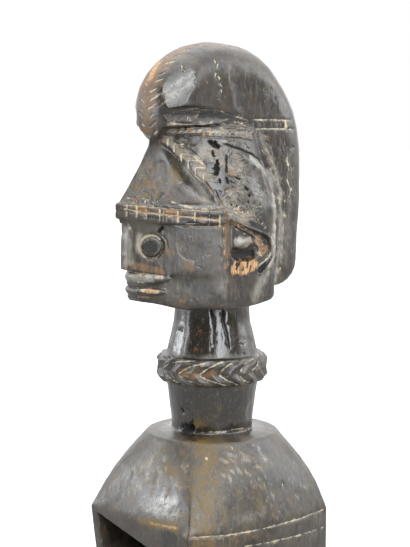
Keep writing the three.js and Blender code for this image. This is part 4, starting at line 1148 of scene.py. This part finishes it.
LAYERS = [   # mark, its weight, pattern, its weight, start and full level, cover, colour, roughness
    (None, 0, "cloud", 1, 0.42, 0.62, 0.75, PATINA_MID, 0.40),
    (None, 0, "mottle", 1, 0.49, 0.66, 0.50, WARM_BROWN, 0.44),
    (None, 0, "grain", 1, 0.50, 0.70, 0.35, PATINA_MID, 0.42),
    ("polish", 1, "cloud", 0.5, 0.55, 1.15, 0.85, PATINA_DARK, 0.17),
    ("rust", 1, "mottle", 2.4, 1.60, 2.15, 0.85, RUBBED_BROWN, 0.55),
    # the dry layer: weathered wood, and painted light under the crest
    ("dry", 1, "mottle", 2.0, 1.40, 2.05, 0.65, WEATHERED_AND_PAINTED_LIGHT, 0.55),
    ("stain", 1, "mottle", 2.4, 1.50, 2.40, 0.90, OLIVE_STAIN, 0.58),
    ("stain", 1, "mottle", 2.4, 3.00, 3.60, 0.85, OCHRE_EDGE, 0.50),
    # the scuff layer: grey scratches, and painted highlights and sheen where the mark is laid for light
    ("scuff", 1, "streak", 0.9, 0.75, 1.35, 0.65, SCUFF_AND_PAINTED_SHEEN_GREY, 0.34),
    (None, 0, "fleck", 1, 0.57, 0.72, 0.42, SCUFF_AND_PAINTED_SHEEN_GREY, 0.45),
    (None, 0, "streak", 1, 0.62, 0.76, 0.18, SCUFF_AND_PAINTED_SHEEN_GREY, 0.42),
    (None, 0, "scratch", 1, 0.64, 0.76, 0.22, SCUFF_AND_PAINTED_SHEEN_GREY, 0.42),
    (None, 0, "scratch_across", 1, 0.65, 0.77, 0.20, SCUFF_AND_PAINTED_SHEEN_GREY, 0.42),
    ("bulge", 0.8, "speck", 0.7, 0.75, 1.10, 0.50, SCUFF_AND_PAINTED_SHEEN_GREY, 0.40),
    ("bulge", -0.8, "speck", 0.7, 0.90, 1.25, 0.35, DUST_AND_PAINTED_LIGHT_CREAM, 0.70),
    # the dust layer: pale dust in the cuts, and painted light on the lip's glint and under the crest
    ("residue", 1, "mottle", 1.6, 1.40, 1.72, 0.80, DUST_AND_PAINTED_LIGHT_CREAM, 0.72),
    ("raw", 1, "mottle", 1.6, 1.30, 1.60, 0.85, RAW_RED, 0.60),
    ("raw", 0.8, "fibre", 1.6, 1.35, 1.65, 0.85, RAW_TAN, 0.65),
    # the pit layer: black in holes and cracks, and painted shade in hollows and under overhangs
    ("pit", 1, "speck", 0.6, 0.75, 1.00, 1.00, HOLE_AND_PAINTED_SHADE_BLACK, 0.85)]
BUMP_HEIGHT = 0.035        # mm; finer than the relief, so it only breaks the gloss
DIMPLE_PART = 4            # how much higher the shallow dimples are than the pores
colour = linear(PATINA_DARK)
roughness = 0.36           # the bare patina, before any layer
for mark_name, mark_weight, pattern_name, weight, start, full, cover, layer_colour, layer_rough in LAYERS:
    level = add(tree, "ShaderNodeMath", {0: pattern[pattern_name], 1: weight}, operation="MULTIPLY")
    if mark_name:
        source = add(tree, "ShaderNodeAttribute", attribute_name=mark_name).outputs["Fac"]
        level = add(tree, "ShaderNodeMath", {0: source, 1: mark_weight, 2: level}, operation="MULTIPLY_ADD")
    span = {"Value": level, "From Min": start, "From Max": full, "To Max": cover}
    mask = add(tree, "ShaderNodeMapRange", span, interpolation_type="SMOOTHSTEP")
    colour = add(tree, "ShaderNodeMix", {0: mask, 6: colour, 7: linear(layer_colour)}, data_type="RGBA")
    roughness = add(tree, "ShaderNodeMix", {0: mask, 2: roughness, 3: layer_rough}, data_type="FLOAT")
uneven = add(tree, "ShaderNodeMath", {0: pattern["dimple"], 1: DIMPLE_PART, 2: pattern["pore"]},
             operation="MULTIPLY_ADD")
bumps = add(tree, "ShaderNodeBump", {"Height": uneven, "Strength": 1.0, "Distance": BUMP_HEIGHT * MM})
shader = add(tree, "ShaderNodeBsdfPrincipled", {
    "Base Color": colour, "Roughness": roughness, "Normal": bumps, "IOR": 1.5, "Specular IOR Level": 0.6})
add(tree, "ShaderNodeOutputMaterial", {"Surface": shader})
figure.data.materials.append(patina)
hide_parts("carved_figure")
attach(figure, "root")
print("material", patina.name, "with", len(tree.nodes), "nodes")

# %% [markdown]
# ## Floor and light
# A white floor and large soft windows, as in a photographer's daylight room. The room is brighter
# behind the figure than in front, which draws the thin bright edges, and the windows are what the
# polished facets mirror. Each window is placed by the way its light comes from.

# %% Studio
FLOOR_HALF = 6             # m
PAPER_GREY = 0.3           # what the paper gives back to the wood
PAPER_GLOW = 0.8           # added for the eye alone, so that it burns out to white
ROOM_FRONT = 0.13          # brightness of the room on the camera's side
ROOM_BACK = 1.8            # behind the figure
CEILING = 2.0              # and what is added overhead
BACK_ENDS, FRONT_STARTS = -0.35, 0.4      # -1 is straight behind the figure, 1 the camera's side
CEILING_STARTS, CEILING_FULL = 0.35, 0.9  # 1 is straight up
floor_mesh = bpy.data.meshes.new("floor")
plane = bmesh.new()
bmesh.ops.create_grid(plane, x_segments=1, y_segments=1, size=FLOOR_HALF)
plane.to_mesh(floor_mesh)
plane.free()
floor = object_of(floor_mesh, "floor")
paper = bpy.data.materials.new("white_paper")
paper.use_nodes = True
sheet = paper.node_tree
matt = sheet.nodes["Principled BSDF"]
matt.inputs["Base Color"].default_value = (PAPER_GREY, PAPER_GREY, PAPER_GREY, 1)
matt.inputs["Roughness"].default_value = 0.9
burnt_out = add(sheet, "ShaderNodeEmission", {"Color": (1, 1, 1, 1), "Strength": PAPER_GLOW})
both_lights = add(sheet, "ShaderNodeAddShader", {0: matt, 1: burnt_out})
seen = add(sheet, "ShaderNodeLightPath").outputs["Is Camera Ray"]
shown = add(sheet, "ShaderNodeMixShader", {0: seen, 1: matt, 2: both_lights})
sheet.links.new(shown.outputs[0], sheet.nodes["Material Output"].inputs["Surface"])
floor.data.materials.append(paper)

world = bpy.data.worlds.new("white_room")
world.use_nodes = True
sky = world.node_tree
seen_white = sky.nodes["Background"]
seen_white.inputs["Color"].default_value = (1, 1, 1, 1)
way = add(sky, "ShaderNodeTexCoord").outputs["Generated"]
front = add(sky, "ShaderNodeVectorMath", {0: way, 1: tuple(toward_camera)},
            operation="DOT_PRODUCT").outputs["Value"]
walls = add(sky, "ShaderNodeMapRange", {
    "Value": front, "From Min": BACK_ENDS, "From Max": FRONT_STARTS,
    "To Min": ROOM_BACK, "To Max": ROOM_FRONT}, interpolation_type="SMOOTHSTEP")
rise = add(sky, "ShaderNodeSeparateXYZ", {"Vector": way}).outputs["Z"]
overhead = add(sky, "ShaderNodeMapRange", {
    "Value": rise, "From Min": CEILING_STARTS, "From Max": CEILING_FULL, "To Min": 0, "To Max": CEILING},
    interpolation_type="SMOOTHSTEP")
strength = add(sky, "ShaderNodeMath", {0: walls, 1: overhead}, operation="ADD")
room = add(sky, "ShaderNodeBackground", {"Color": (1, 1, 1, 1), "Strength": strength})
to_camera = add(sky, "ShaderNodeLightPath").outputs["Is Camera Ray"]
mixed = add(sky, "ShaderNodeMixShader", {0: to_camera, 1: room, 2: seen_white})
sky.links.new(mixed.outputs[0], sky.nodes["World Output"].inputs["Surface"])
scene.world = world
scene.view_settings.view_transform = "Standard"

WINDOWS = [   # name, azimuth and elevation in degrees, distance in m, width and height in m, watts
    ("window_left", -48, 6, 1.5, 0.36, 0.36, 5.4),
    ("window_slit", -25, 8, 1.5, 0.20, 0.6, 3.8),
    ("window_crest", 47, 40, 1.5, 0.45, 0.40, 4.6),
    ("window_front", 74, 15, 1.5, 0.75, 0.95, 24),
    ("window_right", 150, 16, 1.5, 0.7, 0.6, 5.5),
    ("window_side", 116, 30, 1.8, 1.5, 0.8, 14),
    ("skylight", 30, 68, 1.5, 1.0, 1.0, 6)]
DAYLIGHT = (0.93, 0.97, 1.0)
HEAD_HEIGHT = 0.22         # m; the windows are placed round this point of the axis
for name, azimuth, elevation, distance, width, tall, watts in WINDOWS:
    lamp = bpy.data.lights.new(name, "AREA")
    lamp.shape = "RECTANGLE"
    lamp.size = width
    lamp.size_y = tall
    lamp.energy = watts
    lamp.color = DAYLIGHT
    holder = object_of(lamp, name)
    a, e = math.radians(azimuth), math.radians(elevation)
    back = Vector((math.sin(a) * math.cos(e), -math.cos(a) * math.cos(e), math.sin(e)))
    holder.location = Vector((0, 0, HEAD_HEIGHT)) + back * distance
    holder.rotation_mode = "QUATERNION"
    holder.rotation_quaternion = (-back).to_track_quat("-Z", "Y")
print(len(WINDOWS), "windows")
